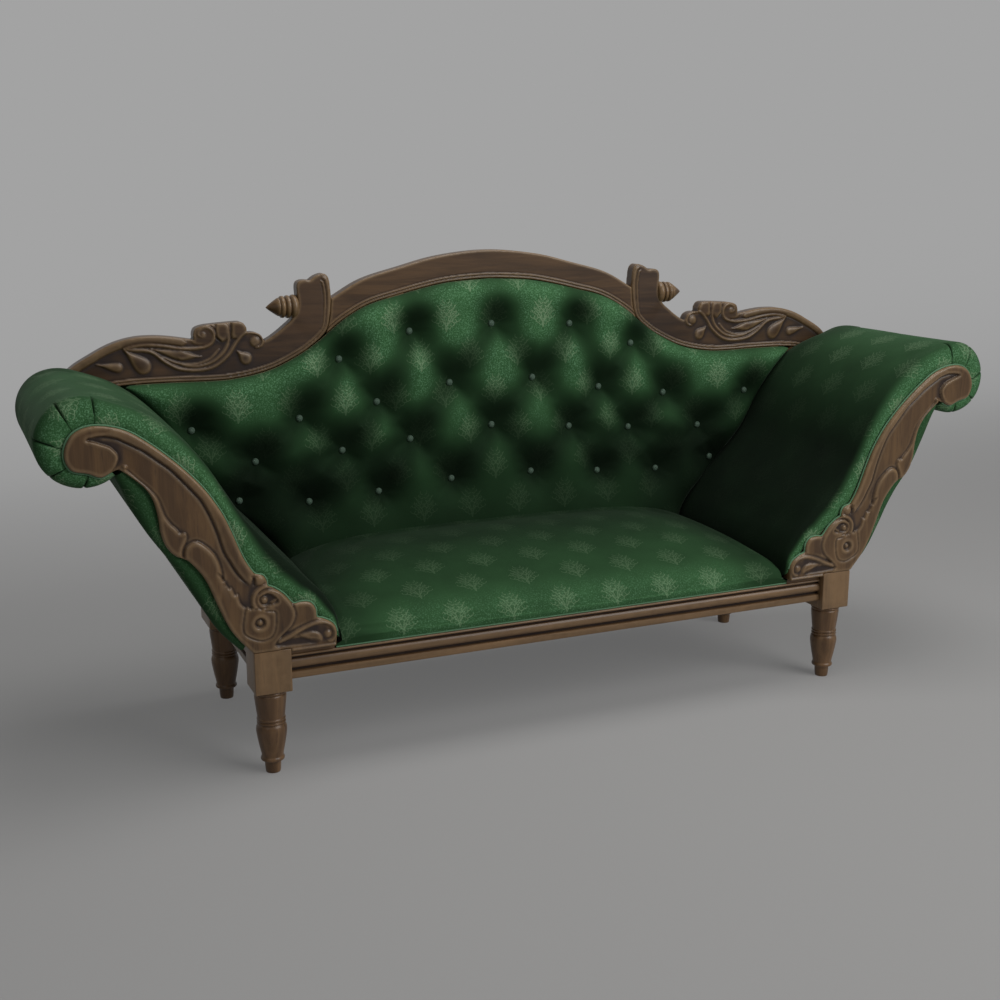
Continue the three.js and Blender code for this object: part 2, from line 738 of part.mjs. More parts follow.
// A closed outline moved outwards by a small distance, with its corners kept sharp
function grown(points, distance) {
  const turn = Math.sign(THREE.ShapeUtils.area(points));
  const count = points.length;
  const outwards = (from, to) => {
    const along = to.clone().sub(from).normalize();
    return new THREE.Vector2(turn * along.y, -turn * along.x);
  };
  return points.map((point, i) => {
    const before = outwards(points[(i + count - 1) % count], point);
    const after = outwards(point, points[(i + 1) % count]);
    const spread = Math.max(1 + before.dot(after), cornerLimitShare);
    return before.add(after).multiplyScalar(distance / spread).add(point);
  });
}

function ellipsePoints(x, z, halfWidth, halfHeight, count) {
  const points = [];
  for (let k = 0; k < count; k += 1) {
    const angle = (k / count) * 2 * Math.PI;
    points.push(new THREE.Vector2(x + halfWidth * Math.cos(angle), z + halfHeight * Math.sin(angle)));
  }
  return points;
}

function closedSmooth(points) {
  const line = smooth([...points, points[0]], lineSteps);
  line.pop();
  return line;
}

const facadeEdge = facadeOutline();
function facadeGeometry() {
  const parts = [board(facadeEdge, frontFace, facadeBack)];
  const front = frontFace - facadeRelief;
  const seated = frontFace + facadeRelief;
  for (const shares of [commaShares, lobeShares, wingLeafShares]) {
    parts.push(board(closedSmooth(facadePoints(shares)), front, seated));
  }
  const discs = [
    [rosetteCentreShare, rosetteRadiusShare],
    [voluteCentreShare, voluteRadiusShare],
  ];
  for (const [centreShare, radiusShare] of discs) {
    const [centre] = facadePoints([centreShare]);
    const radius = radiusShare * facadeReach;
    parts.push(board(ellipsePoints(centre.x, centre.y, radius, radius, discSides), front, seated));
  }
  const [eye] = facadePoints([rosetteCentreShare]);
  const eyeRadius = rosetteBallRadiusShare * facadeReach;
  const hollowRadius = rosetteHollowRadiusShare * facadeReach;
  const hollowEdge = ellipsePoints(eye.x, eye.y, hollowRadius, hollowRadius, discSides);
  const hollow = board(hollowEdge, front - cutOverrun, frontFace);
  const ball = board(ellipsePoints(eye.x, eye.y, eyeRadius, eyeRadius, discSides), front, seated);
  return join([cut(join(parts), [hollow]), ball]);
}

addPair('arm_facade', facadeGeometry(), walnut);

// Arm cloth: a thick band from the seat up the arm and round the roll
function rollArc(radius) {
  const [centre] = facadePoints([rollCentreShare]);
  const points = [];
  for (let k = 0; k <= rollSteps; k += 1) {
    const angle = THREE.MathUtils.degToRad(
      THREE.MathUtils.lerp(rollStartAngle, rollEndAngle, k / rollSteps),
    );
    points.push(new THREE.Vector2(centre.x + radius * Math.cos(angle), centre.y + radius * Math.sin(angle)));
  }
  return points;
}

function armLine(inset) {
  const rise = offsetLine(smooth(facadePoints(armLineShares), lineSteps), -inset);
  return [...rise, ...rollArc(armRollRadius - inset)];
}

function armOuterLine(inset) {
  return offsetLine(facadePoints(armOuterShares), -inset);
}

// How far out the inside of an arm is at a height
function armPlaceAt(z) {
  const side = armLine(0).slice(0, armLineShares.length);
  return valueAt(side.map((point) => [point.y, point.x]), z);
}

// How far the cloth is drawn in over its rounded front edge and rear edge, station by station
function clothStations() {
  const stations = armRoundingShares.map(([back, inset]) => ({
    depth: armClothFront + back * armFrontRounding,
    inset: inset * armFrontRounding,
    pleat: armPleatDepth * (1 - back),
  }));
  stations.push({ depth: armClothRear - armRearRounding, inset: 0, pleat: 0 });
  stations.push({ depth: armClothRear, inset: armRearRounding, pleat: 0 });
  return stations;
}

function pleated(line, pleat) {
  const first = line.length - rollSteps - 1;
  line.forEach((point, i) => {
    if (i > first && (i - first) % rollStepsPerPleat === 0) point.push = pleat;
  });
  return line;
}

// Cuts away what is below the leg blocks' tops
function standing(geometry) {
  const reach = legSpan + facadeReach;
  const far = [reach, rearMost + cutOverrun, blockTop + fitGap];
  return cut(geometry, [boxBetween([-reach, frontMost - cutOverrun, 0], far)]);
}

const facadePocket = board(grown(facadeEdge, fitGap), frontMost - cutOverrun, facadeBack + fitGap);
const stations = clothStations();
const clothDepths = stations.map((station) => station.depth);

function armPadGeometry() {
  const rings = stations.map(({ inset, pleat }) => [
    ...pleated(armLine(inset), pleat),
    ...armLine(armPadThickness).reverse(),
  ]);
  return cut(standing(loft(rings, clothDepths)), [facadePocket]);
}

addPair('arm_pad', armPadGeometry(), damask);

function armOuterGeometry() {
  const rings = stations.map(({ inset }) => [
    ...armOuterLine(inset),
    ...armOuterLine(armOuterThickness).reverse(),
  ]);
  return cut(standing(loft(rings, clothDepths)), [facadePocket]);
}

addPair('arm_outer_panel', armOuterGeometry(), damask);

// Frame inside an arm: a front board, a rear board, the rail in the roll and a slat
function armFrameOutline() {
  return [...armLine(armPadThickness + fitGap), ...armOuterLine(armOuterThickness + fitGap)];
}

const armBoardFront = facadeBack + 2 * fitGap;
const armBoardRear = armBoardFront + armBoardThickness;
addPair('arm_front_board', standing(board(armFrameOutline(), armBoardFront, armBoardRear)), beech);

// Carved shoulders of the back
function shoulderPoints(shares) {
  return scaledPoints(shares, shoulderReach, crestRise, crestHalfWidth, shoulderLine);
}

const shoulderUnder = smooth(shoulderPoints(shoulderUnderShares), curveSteps);
const shoulderEnd = [shoulderUnderShares[shoulderUnderShares.length - 1], shoulderTopShares[0]];
const shoulderEdge = outlineOf([
  shoulderPoints(shoulderUnderShares),
  shoulderPoints(shoulderEnd),
  shoulderPoints(shoulderTopShares),
  shoulderPoints(shoulderScrollShares),
  shoulderPoints(shoulderCurlShares),
  shoulderPoints(hookShares),
  shoulderPoints(hookTipShares),
]);

function shoulderGeometry() {
  const front = backPlane - backRelief;
  const seated = backPlane + backRelief;
  const parts = [board(bandOutline(shoulderUnder, backBeadWidth, 0), front, seated)];
  const stemWidth = stemWidthShare * shoulderReach;
  for (const shares of [shoulderStemShares, shoulderInnerStemShares]) {
    const line = smooth(shoulderPoints(shares), lineSteps);
    parts.push(board(bandOutline(line, stemWidth / 2, stemWidth / 2), front, seated));
  }
  for (const [across, up, halfWidth, halfHeight] of [...shoulderDropShares, ...shoulderCurlDiscShares]) {
    const [centre] = shoulderPoints([[across, up]]);
    const size = [halfWidth * shoulderReach, halfHeight * crestRise];
    parts.push(board(ellipsePoints(centre.x, centre.y, size[0], size[1], discSides), front, seated));
  }
  const carving = common(join(parts), board(shoulderEdge, front, rearFace));
  return join([board(shoulderEdge, backPlane, rearFace), carving]);
}

const shoulder = shoulderGeometry();
addPair('shoulder_rail', shoulder, walnut);
const cutterFront = backPlane - 2 * backPadThickness;
const shoulderCutter = board(grown(shoulderEdge, fitGap), cutterFront, rearFace + cutOverrun);

// Crest rail, butted against the two hooks
function crestPoints(shares) {
  return scaledPoints(shares, crestHalfWidth, crestRise, 0, shoulderLine);
}

function bothSides(points) {
  const left = points.map((point) => new THREE.Vector2(-point.x, point.y)).reverse();
  return points[0].x === 0 ? [...left, ...points.slice(1)] : [...left, ...points];
}

const crestUnder = smooth(bothSides(crestPoints(crestUnderShares)), curveSteps);
const crestTop = smooth(bothSides(crestPoints(crestTopShares).reverse()), curveSteps);
const crestEdge = [...crestUnder, ...[...crestTop].reverse()];

function crestGeometry() {
  const front = backPlane - backRelief;
  const band = board(bandOutline(crestUnder, backBeadWidth, 0), front, backPlane + backRelief);
  const bead = common(band, board(crestEdge, front, rearFace));
  const whole = join([board(crestEdge, backPlane, rearFace), bead]);
  return cut(whole, [shoulderCutter, mirrored(shoulderCutter)]);
}

add('crest_rail', crestGeometry(), walnut);
const crestCutter = board(grown(crestEdge, fitGap), cutterFront, rearFace + cutOverrun);

// Rear arm boards: they stand on the rear blocks, carry the shoulders and hold the rolls
function armBackGeometry() {
  const inside = board(armFrameOutline(), backPlane - armBoardThickness, backPlane + fitGap);
  const riseCount = armLineShares.length;
  const outline = [...armLine(armBackInset).slice(0, riseCount), ...armOuterLine(armBackInset)];
  const outside = board(outline, backPlane, rearFace);
  return cut(standing(join([inside, outside])), [shoulderCutter]);
}

addPair('arm_rear_board', armBackGeometry(), walnut);

const [rollCentre] = facadePoints([rollCentreShare]);
const rollRailRadius = armRollRadius - armPadThickness - fitGap;
const rollRailLength = backPlane - armBoardThickness - armBoardRear - 2 * fitGap;
const rollRail = new THREE.CylinderGeometry(rollRailRadius, rollRailRadius, rollRailLength, discSides);
rollRail.translate(rollCentre.x, armBoardRear + fitGap + rollRailLength / 2, rollCentre.y);
addPair('arm_roll_rail', rollRail, beech);

// The slat lies against the inside of the arm cloth, half way up
function armSlatGeometry() {
  const line = armLine(armPadThickness + fitGap).slice(0, armLineShares.length);
  const middle = line[Math.floor(line.length / 2)];
  const after = line[Math.floor(line.length / 2) + 1];
  const along = after.clone().sub(middle).normalize();
  const inwards = new THREE.Vector2(along.y, -along.x);
  const corner = (a, b) => new THREE.Vector2(
    middle.x + along.x * a + inwards.x * b,
    middle.y + along.y * a + inwards.y * b,
  );
  const near = armSlatThickness / 2;
  const outline = [
    corner(0, near),
    corner(0, near + armSlatThickness),
    corner(armSlatWidth, near + armSlatThickness),
    corner(armSlatWidth, near),
  ];
  return board(outline, armBoardRear + fitGap, backPlane - armBoardThickness - fitGap);
}

addPair('arm_slat', armSlatGeometry(), beech);

// Finials lie along X, seated in the outer face of each hook
function finialGeometry() {
  const buried = finialBuriedShare * finialLength;
  const profile = [new THREE.Vector2(0, -buried)];
  profile.push(new THREE.Vector2(finialShares[0][1] * finialRadius, -buried));
  for (const [along, out] of finialShares) {
    profile.push(new THREE.Vector2(out * finialRadius, along * finialLength));
  }
  profile.push(new THREE.Vector2(0, finialLength));
  const geometry = new THREE.LatheGeometry(profile, discSides);
  geometry.rotateZ(-Math.PI / 2);
  const height = shoulderLine + finialShoulderHeight;
  const hook = shoulderPoints(hookShares);
  const above = hook.findIndex((point) => point.y > height);
  const [low, high] = [hook[above - 1], hook[above]];
  const x = THREE.MathUtils.mapLinear(height, low.y, high.y, low.x, high.x);
  geometry.translate(x, (backPlane + rearFace) / 2, height);
  const inside = boxBetween(
    [0, backPlane - cutOverrun, 0],
    [x - buried / 2, rearFace + cutOverrun, height + finialLength],
  );
  return cut(geometry, [shoulderCutter, inside]);
}

addPair('finial', finialGeometry(), walnut);

// Frame inside the back
const bottomRailReach = armLine(armBackInset)[0].x - fitGap;
const bottomRailBase = blockTop + fitGap;
const bottomRail = boxBetween(
  [-bottomRailReach, backPlane, bottomRailBase],
  [bottomRailReach, rearFace, bottomRailBase + bottomRailHeight],
);
add('back_bottom_rail', bottomRail, beech);

// A stile runs from the bottom rail up to the crest, and its top is cut to the crest's curve
function stileGeometry() {
  const crestHeight = heightAlong(crestUnder, stileSpacing / 2);
  const low = [stileSpacing / 2 - stileWidth / 2, backPlane, bottomRailBase + bottomRailHeight + fitGap];
  const high = [stileSpacing / 2 + stileWidth / 2, rearFace, crestHeight + stileWidth / 2];
  return cut(boxBetween(low, high), [crestCutter]);
}

addPair('back_stile', stileGeometry(), beech);

// Outline of the upholstered back: the arm lines at its sides, the wood's lower edge above it
const woodPoints = [
  ...crestPoints(crestUnderShares.slice(0, -1)),
  ...shoulderPoints(shoulderUnderShares.slice(2)),
];
const woodLine = smooth(woodPoints, curveSteps);

function belowWood(drop) {
  const top = bothSides(woodLine.map((point) => new THREE.Vector2(point.x, point.y - drop)));
  const reach = top[top.length - 1].x;
  return [new THREE.Vector2(-reach, railTop), new THREE.Vector2(reach, railTop), ...top.reverse()];
}

function betweenArms(clearance) {
  const side = armLine(-clearance).slice(0, armLineShares.length);
  const top = side[side.length - 1];
  const foot = side[0];
  const right = [new THREE.Vector2(foot.x, seatBase), ...side, new THREE.Vector2(top.x, top.y + crestRise)];
  const left = right.map((point) => new THREE.Vector2(-point.x, point.y)).reverse();
  return [...right, ...left];
}

function backPiece(geometry) {
  const below = board(belowWood(fitGap), cutterFront, rearFace);
  const between = board(betweenArms(fitGap), cutterFront, rearFace);
  const fitted = common(common(geometry, below), between);
  return cut(fitted, [shoulderCutter, mirrored(shoulderCutter), crestCutter]);
}

const backReach = armPlaceAt(shoulderLine);
const backHigh = shoulderLine + crestRise;
const hessianLow = [-backReach, hessianFront, seatBase];
const hessian = boxBetween(hessianLow, [backReach, backPlane - fitGap, backHigh]);
add('back_hessian', backPiece(hessian), jute);

// Buttons, and the valleys that join each one to its neighbours in the next row
const buttonRows = buttonRowShares.map(({ heightShares, placeShares }) => {
  const row = placeShares.map((share, k) => ({
    x: share * crestHalfWidth,
    z: shoulderLine + heightShares[k] * crestRise,
  }));
  const left = row.filter(({ x }) => x > 0).map(({ x, z }) => ({ x: -x, z }));
  return [...left.reverse(), ...row];
});

const valleys = [];
buttonRows.slice(1).forEach((row, k) => {
  for (const upper of buttonRows[k]) {
    const near = row.filter(({ x }) => Math.abs(x - upper.x) < valleyReachShare * crestHalfWidth);
    for (const lower of near) valleys.push([upper, lower]);
  }
});

function distanceToValley(x, z, [a, b]) {
  const span = (b.x - a.x) ** 2 + (b.z - a.z) ** 2;
  const share = ((x - a.x) * (b.x - a.x) + (z - a.z) * (b.z - a.z)) / span;
  const t = THREE.MathUtils.clamp(share, 0, 1);
  return Math.hypot(x - a.x - t * (b.x - a.x), z - a.z - t * (b.z - a.z));
}

// Thickness of the buttoned back at a place
function backPadDepth(x, z) {
  const border = Math.min(heightAlong(woodLine, Math.abs(x)) - z, armPlaceAt(z) - Math.abs(x));
  const rollover = THREE.MathUtils.smoothstep(border, 0, backPadRollover);
  const valley = Math.min(...valleys.map((line) => distanceToValley(x, z, line)));
  const button = Math.min(...buttonRows.flat().map((one) => Math.hypot(x - one.x, z - one.z)));
  const lowered = pleatSink * Math.exp(-((valley / (pleatReach / 2)) ** 2));
  const hollow = buttonSink * Math.exp(-((button / (pleatReach / 2)) ** 2));
  const puffed = backPadThickness - Math.max(lowered, hollow);
  return backPadEdge + (puffed - backPadEdge) * rollover;
}

function buttonGeometry({ x, z }) {
  const geometry = new THREE.SphereGeometry(buttonRadius, buttonSides, buttonRings);
  geometry.scale(1, buttonFlatShare, 1);
  geometry.translate(x, backPadRear - backPadDepth(x, z), z);
  return geometry;
}

function backCushionGeometry() {
  const placeOf = (u, v) => {
    const x = (2 * u - 1) * backReach;
    const z = THREE.MathUtils.lerp(seatBase, backHigh, v);
    return [x, backPadRear - backPadDepth(x, z), z];
  };
  const baseOf = (u, v) => {
    const [x, , z] = placeOf(u, v);
    return [x, backPadRear, z];
  };
  const pad = backPiece(reliefBlock(backColumns, backRows, placeOf, baseOf));
  return join([pad, ...buttonRows.flat().map(buttonGeometry)]);
}

add('back_cushion', backCushionGeometry(), damask);

// Outside back cloth, tacked over the frame from the seat rail up to the show wood
function backCoverGeometry() {
  const lap = backBeadWidth;
  const outer = armOuterLine(0);
  const inside = woodLine.filter((point) => point.x < outer[0].x);
  const right = [...inside.map((point) => new THREE.Vector2(point.x, point.y + lap)), ...outer];
  right.push(new THREE.Vector2(outer[outer.length - 1].x, railTop - lap));
  return board(bothSides(right), rearFace + fitGap, rearFace + fitGap + coverThickness);
}

add('back_cover', backCoverGeometry(), damask);

// Piping in the seam round the arm fronts
function facadePipingGeometry() {
  const line = smooth(facadePoints(facadeEdgeShares.slice(0, -pipingTailPoints)), curveSteps);
  const y = armClothFront - fitGap - pipingRadius;
  const route = offsetLine(line, pipingRadius + fitGap);
  const points = route.map((point) => new THREE.Vector3(point.x, y, point.y));
  return cut(wireAlong(points, pipingRadius, pipingSides, route.length), [facadePocket]);
}

addPair('arm_piping', facadePipingGeometry(), trim);

export default settee;
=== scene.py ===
# %% [markdown]
# A buttoned settee with two scroll arms
#
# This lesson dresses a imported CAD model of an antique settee: carved walnut show wood, a sprung
# seat, a tall buttoned back and green damask velvet. The CAD model is the frame. Every piece made
# here sits where the frame says, in metres, with +X to the right, +Y to the back and +Z up.

# %% Load the frame
import math

import bmesh
import bpy
import numpy as np
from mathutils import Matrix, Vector


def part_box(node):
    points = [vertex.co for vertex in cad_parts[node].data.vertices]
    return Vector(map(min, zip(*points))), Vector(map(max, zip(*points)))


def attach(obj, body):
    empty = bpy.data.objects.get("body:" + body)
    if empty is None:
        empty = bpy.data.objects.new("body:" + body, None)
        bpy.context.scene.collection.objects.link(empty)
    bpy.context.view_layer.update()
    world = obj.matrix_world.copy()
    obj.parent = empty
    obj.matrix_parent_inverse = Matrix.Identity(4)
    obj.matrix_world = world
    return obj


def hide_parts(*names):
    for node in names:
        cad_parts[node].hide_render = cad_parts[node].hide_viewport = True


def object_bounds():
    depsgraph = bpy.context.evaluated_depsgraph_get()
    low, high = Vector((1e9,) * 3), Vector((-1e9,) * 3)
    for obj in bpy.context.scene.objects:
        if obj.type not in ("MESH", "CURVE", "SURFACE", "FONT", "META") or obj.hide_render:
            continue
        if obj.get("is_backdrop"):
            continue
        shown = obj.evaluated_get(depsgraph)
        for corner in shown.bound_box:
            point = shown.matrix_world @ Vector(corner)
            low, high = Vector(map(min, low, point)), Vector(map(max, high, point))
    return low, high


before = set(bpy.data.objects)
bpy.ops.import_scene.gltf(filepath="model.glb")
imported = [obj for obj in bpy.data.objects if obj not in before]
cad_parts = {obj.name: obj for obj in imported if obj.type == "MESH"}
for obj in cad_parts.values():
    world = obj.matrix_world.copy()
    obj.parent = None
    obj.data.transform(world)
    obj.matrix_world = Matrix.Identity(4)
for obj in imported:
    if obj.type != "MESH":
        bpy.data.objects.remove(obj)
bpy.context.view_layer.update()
MM = 0.001

# %% [markdown]
# The camera and the studio
#
# The picture was taken from the left of the middle and a little above the arms. The camera's place
# came from matching leg, arm and shoulder points of the object with their places in the picture.
# The studio is a floor that curves up into a wall far behind, and three large soft lamps, so that
# no colour is changed by the light.

# %% Camera
bpy.ops.object.select_all(action="DESELECT")
camera_place = (-1.40352, -3.04030, 1.31235)
camera_tilt, camera_turn = 0.238707552, 0.410815633
lens_length, film_width = 48.48, 36
bpy.ops.object.camera_add(location=camera_place)
camera = bpy.context.object
camera.rotation_euler = (math.pi / 2 - camera_tilt, 0, -camera_turn)
camera.data.lens = lens_length
camera.data.sensor_width = film_width
bpy.context.scene.camera = camera
print("the camera looks down by", round(math.degrees(camera_tilt), 1), "degrees")

# %% Floor and lamps
scene = bpy.context.scene
scene.view_settings.view_transform = "Standard"


def deselect():
    if bpy.context.object and bpy.context.object.mode != "OBJECT":
        bpy.ops.object.mode_set(mode="OBJECT")
    bpy.ops.object.select_all(action="DESELECT")


def select_only(piece):
    deselect()
    piece.select_set(True)
    bpy.context.view_layer.objects.active = piece


def lamp(name, place, aim, size, power):
    """A soft square lamp that faces a point."""
    deselect()
    bpy.ops.object.light_add(type="AREA", location=place)
    light = bpy.context.object
    light.name = name
    light.data.size = size
    light.data.energy = power
    towards = Vector(aim) - Vector(place)
    light.rotation_euler = towards.to_track_quat("-Z", "Y").to_euler()
    return light


middle = (0, 0, 0.5)
lamp("lamp_key", (2.7, -3.9, 3.3), middle, 3.4, 135)
lamp("lamp_fill", (-3.4, -3.4, 2.8), middle, 3.0, 14)
lamp("lamp_top", (0.5, -0.2, 4.6), middle, 2.6, 70)

floor_size = 24
wall_distance = 5
cove_radius = 2
deselect()
bpy.ops.mesh.primitive_plane_add(size=floor_size)
floor = bpy.context.object
floor.name = "studio_floor"
bpy.ops.object.mode_set(mode="EDIT")
bpy.ops.mesh.select_mode(type="EDGE")
shell = bmesh.from_edit_mesh(floor.data)
for edge in shell.edges:
    edge.select_set(all(vertex.co.y > 0 for vertex in edge.verts))
bmesh.update_edit_mesh(floor.data)
bpy.ops.transform.translate(value=(0, wall_distance - floor_size / 2, 0))
bpy.ops.mesh.extrude_region_move(TRANSFORM_OT_translate={"value": (0, 0, floor_size / 2)})
bpy.ops.object.mode_set(mode="OBJECT")
rounding = floor.modifiers.new("Cove", "BEVEL")
rounding.width = cove_radius
rounding.segments = 16
bpy.ops.object.modifier_apply(modifier=rounding.name)
bpy.ops.object.shade_smooth()
floor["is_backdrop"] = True

# %% [markdown]
# Shader maths as Python
#
# A finish is a small sum: noise here, a stripe there, one colour mixed into another. Writing every
# node by hand hides that sum, so a socket is wrapped in a class whose operators add the Math nodes.

# %% Values
class Value:
    """A number that varies over a surface. Sums on it add Math nodes."""

    def __init__(self, shader, socket):
        self.shader = shader
        self.socket = socket

    def maths(self, operation, *others):
        return self.shader.node("ShaderNodeMath", {"operation": operation}, [self, *others])

    def __add__(self, other):
        return self.maths("ADD", other)

    __radd__ = __add__

    def __sub__(self, other):
        return self.maths("SUBTRACT", other)

    def __rsub__(self, other):
        return (self * -1) + other

    def __mul__(self, other):
        return self.maths("MULTIPLY", other)

    __rmul__ = __mul__

    def __truediv__(self, other):
        return self.maths("DIVIDE", other)

    def __pow__(self, other):
        return self.maths("POWER", other)

    def __abs__(self):
        return self.maths("ABSOLUTE")

    def fraction(self):
        return self.maths("FRACT")

    def whole(self):
        return self.maths("FLOOR")

    def larger(self, other):
        return self.maths("MAXIMUM", other)

    def smaller(self, other):
        return self.maths("MINIMUM", other)

    def rise(self, low, high):
        """0 below low, 1 above high, and a smooth step between."""
        settings = {"interpolation_type": "SMOOTHSTEP"}
        return self.shader.node("ShaderNodeMapRange", settings, [self, low, high, 0, 1])


print("values can be added, multiplied and compared")


# %% Shaders
class Shader:
    """A material under construction, with one Principled shader."""

    def __init__(self, name, **fixed):
        self.material = bpy.data.materials.new(name)
        self.material.use_nodes = True
        self.tree = self.material.node_tree
        self.tree.nodes.clear()
        output = self.tree.nodes.new("ShaderNodeOutputMaterial")
        self.surface = self.tree.nodes.new("ShaderNodeBsdfPrincipled")
        self.tree.links.new(self.surface.outputs[0], output.inputs["Surface"])
        for socket, value in fixed.items():
            self.surface.inputs[socket.replace("_", " ")].default_value = value

    def node(self, kind, settings, inputs, output=0):
        """A node with its settings made first, then the values or links of its sockets."""
        made = self.tree.nodes.new(kind)
        for key, value in settings.items():
            setattr(made, key, value)
        named = inputs.items() if isinstance(inputs, dict) else enumerate(inputs)
        for key, value in named:
            if isinstance(value, Value):
                self.tree.links.new(value.socket, made.inputs[key])
            else:
                made.inputs[key].default_value = value
        return Value(self, made.outputs[output])

    def mix(self, factor, first, second):
        """Two colours mixed; a Mix node keeps its colours in sockets 6 and 7, and output 2."""
        settings = {"data_type": "RGBA"}
        return self.node("ShaderNodeMix", settings, {0: factor, 6: first, 7: second}, 2)

    def noise(self, place, scale, detail=2.0, roughness=0.5, distortion=0.0):
        sockets = {"Vector": place, "Scale": scale, "Detail": detail}
        sockets.update({"Roughness": roughness, "Distortion": distortion})
        return self.node("ShaderNodeTexNoise", {}, sockets)

    def attribute(self, name):
        return self.node("ShaderNodeAttribute", {"attribute_name": name}, [], "Fac")

    def place(self, stretch=(1, 1, 1)):
        """Object coordinates, stretched where a grain runs."""
        here = self.node("ShaderNodeTexCoord", {}, [], "Object")
        return self.node("ShaderNodeMapping", {}, {"Vector": here, "Scale": stretch})

    def split(self, vector):
        made = self.tree.nodes.new("ShaderNodeSeparateXYZ")
        self.tree.links.new(vector.socket, made.inputs[0])
        return [Value(self, socket) for socket in made.outputs]

    def gather(self, x, y, z=0.0):
        return self.node("ShaderNodeCombineXYZ", {}, [x, y, z])

    def bump(self, height, distance, strength=1.0):
        sockets = {"Height": height, "Distance": distance, "Strength": strength}
        normal = self.node("ShaderNodeBump", {}, sockets)
        self.tree.links.new(normal.socket, self.surface.inputs["Normal"])

    def feed(self, name, value):
        self.tree.links.new(value.socket, self.surface.inputs[name])


print("a shader wraps one material")


# %% Colours and the studio's paint
def tone(code, alpha=1.0):
    """A colour as painters write it, such as 6b5140, in the linear numbers that light needs."""
    parts = [int(code[i:i + 2], 16) / 255 for i in (0, 2, 4)]
    linear = [p / 12.92 if p < 0.04045 else ((p + 0.055) / 1.055) ** 2.4 for p in parts]
    return (*linear, alpha)


floor_paint = Shader("studio_paint", Roughness=0.9)
shade = floor_paint.noise(floor_paint.place(), 0.6)
_, depth_back, _ = floor_paint.split(floor_paint.place())
floor_paint.feed("Base Color", floor_paint.mix(shade, tone("a8a6a5"), tone("adacaa")))
backdrop = floor_paint.tree.nodes.new("ShaderNodeEmission")
backdrop.inputs["Color"].default_value = tone("a3a3a3")
seen_by = [Value(floor_paint, floor_paint.tree.nodes.new("ShaderNodeLightPath").outputs[name])
           for name in ("Is Camera Ray", "Is Glossy Ray")]
wall_share = seen_by[0].larger(seen_by[1]) * (0.3 + depth_back.rise(0.2, 4.8) * 0.7)
both = floor_paint.tree.nodes.new("ShaderNodeMixShader")
floor_paint.tree.links.new(wall_share.socket, both.inputs[0])
floor_paint.tree.links.new(floor_paint.surface.outputs[0], both.inputs[1])
floor_paint.tree.links.new(backdrop.outputs[0], both.inputs[2])
surface_in = floor_paint.tree.nodes["Material Output"].inputs["Surface"]
floor_paint.tree.links.new(both.outputs[0], surface_in)
floor.data.materials.append(floor_paint.material)
world = bpy.data.worlds.new("studio_world")
world.use_nodes = True
world.node_tree.nodes["Background"].inputs["Color"].default_value = tone("d8dade")
world.node_tree.nodes["Background"].inputs["Strength"].default_value = 0.85
scene.world = world
print("the studio is painted")

# %% [markdown]
# Walnut
#
# The show wood is old walnut with a dark glaze left in the recesses and the high edges rubbed pale.
# The grain is noise stretched along the board. The carving itself stores two numbers at each
# vertex, glaze in the cuts and worn on the crests, and the finish reads them, so that the shading
# follows the real cuts and needs no second set of masks.

# %% Walnut and beech
pore_tone, cloud_tone = tone("33241a"), tone("664b31")
glaze_tone, worn_tone = tone("241818"), tone("a88b66")


def walnut(name, stretch, dark="4d3722", light="775a39"):
    """Polished walnut; stretch is small along the grain, and dark and light are its two browns."""
    wood = Shader(name, Roughness=0.42, Specular_IOR_Level=0.4, Coat_Weight=0.32, Coat_Roughness=0.22)
    along = wood.place(stretch)
    here = wood.place()
    figure = wood.noise(along, 26, 4, 0.6, 1.2)
    pores = wood.noise(along, 150, 3, 0.65)
    cloud = wood.noise(here, 5, 2)
    base = wood.mix(figure.rise(0.3, 0.72), tone(dark), tone(light))
    base = wood.mix(pores.rise(0.55, 0.75) * 0.55, base, pore_tone)
    base = wood.mix(cloud.rise(0.35, 0.7) * 0.3, base, cloud_tone)
    dirt = wood.noise(here, 60, 3)
    glaze = (wood.attribute("glaze") * (0.75 + dirt * 0.5)).smaller(1)
    base = wood.mix(glaze * 0.88, base, glaze_tone)
    worn = wood.attribute("worn") * (0.4 + dirt * 0.9)
    base = wood.mix(worn.smaller(1) * 0.5, base, worn_tone)
    wood.feed("Base Color", base)
    wood.feed("Roughness", 0.36 + pores * 0.16 + glaze * 0.25)
    wood.bump(pores + figure * 0.5, 0.0004, 0.5)
    return wood.material


walnut_upright = walnut("walnut_upright", (1, 1, 0.09))
walnut_long = walnut("walnut_long", (0.09, 1, 1), "45301c", "6a4e31")
walnut_deep = walnut("walnut_deep", (1, 0.09, 1))
walnut_legs = walnut("walnut_legs", (1, 1, 0.09), "5a4027", "876644")
walnut_rail = walnut("walnut_rail", (0.09, 1, 1), "5c432a", "8a6946")
walnut_shoulder = walnut("walnut_shoulder", (0.09, 1, 1), "382618", "58402a")


def beech(name, stretch):
    wood = Shader(name, Roughness=0.7)
    along = wood.place(stretch)
    figure = wood.noise(along, 30, 3, 0.6)
    flecks = wood.noise(along, 260, 2)
    base = wood.mix(figure.rise(0.3, 0.7), tone("a5835a"), tone("c3a277"))
    wood.feed("Base Color", wood.mix(flecks.rise(0.6, 0.7) * 0.5, base, tone("84623d")))
    wood.bump(flecks, 0.0003, 0.4)
    return wood.material


beech_long = beech("beech_long", (0.08, 1, 1))
beech_upright = beech("beech_upright", (1, 1, 0.08))
beech_deep = beech("beech_deep", (1, 0.08, 1))
print("wood finishes:", [m.name for m in bpy.data.materials if m.name.startswith(("walnut", "beech"))])

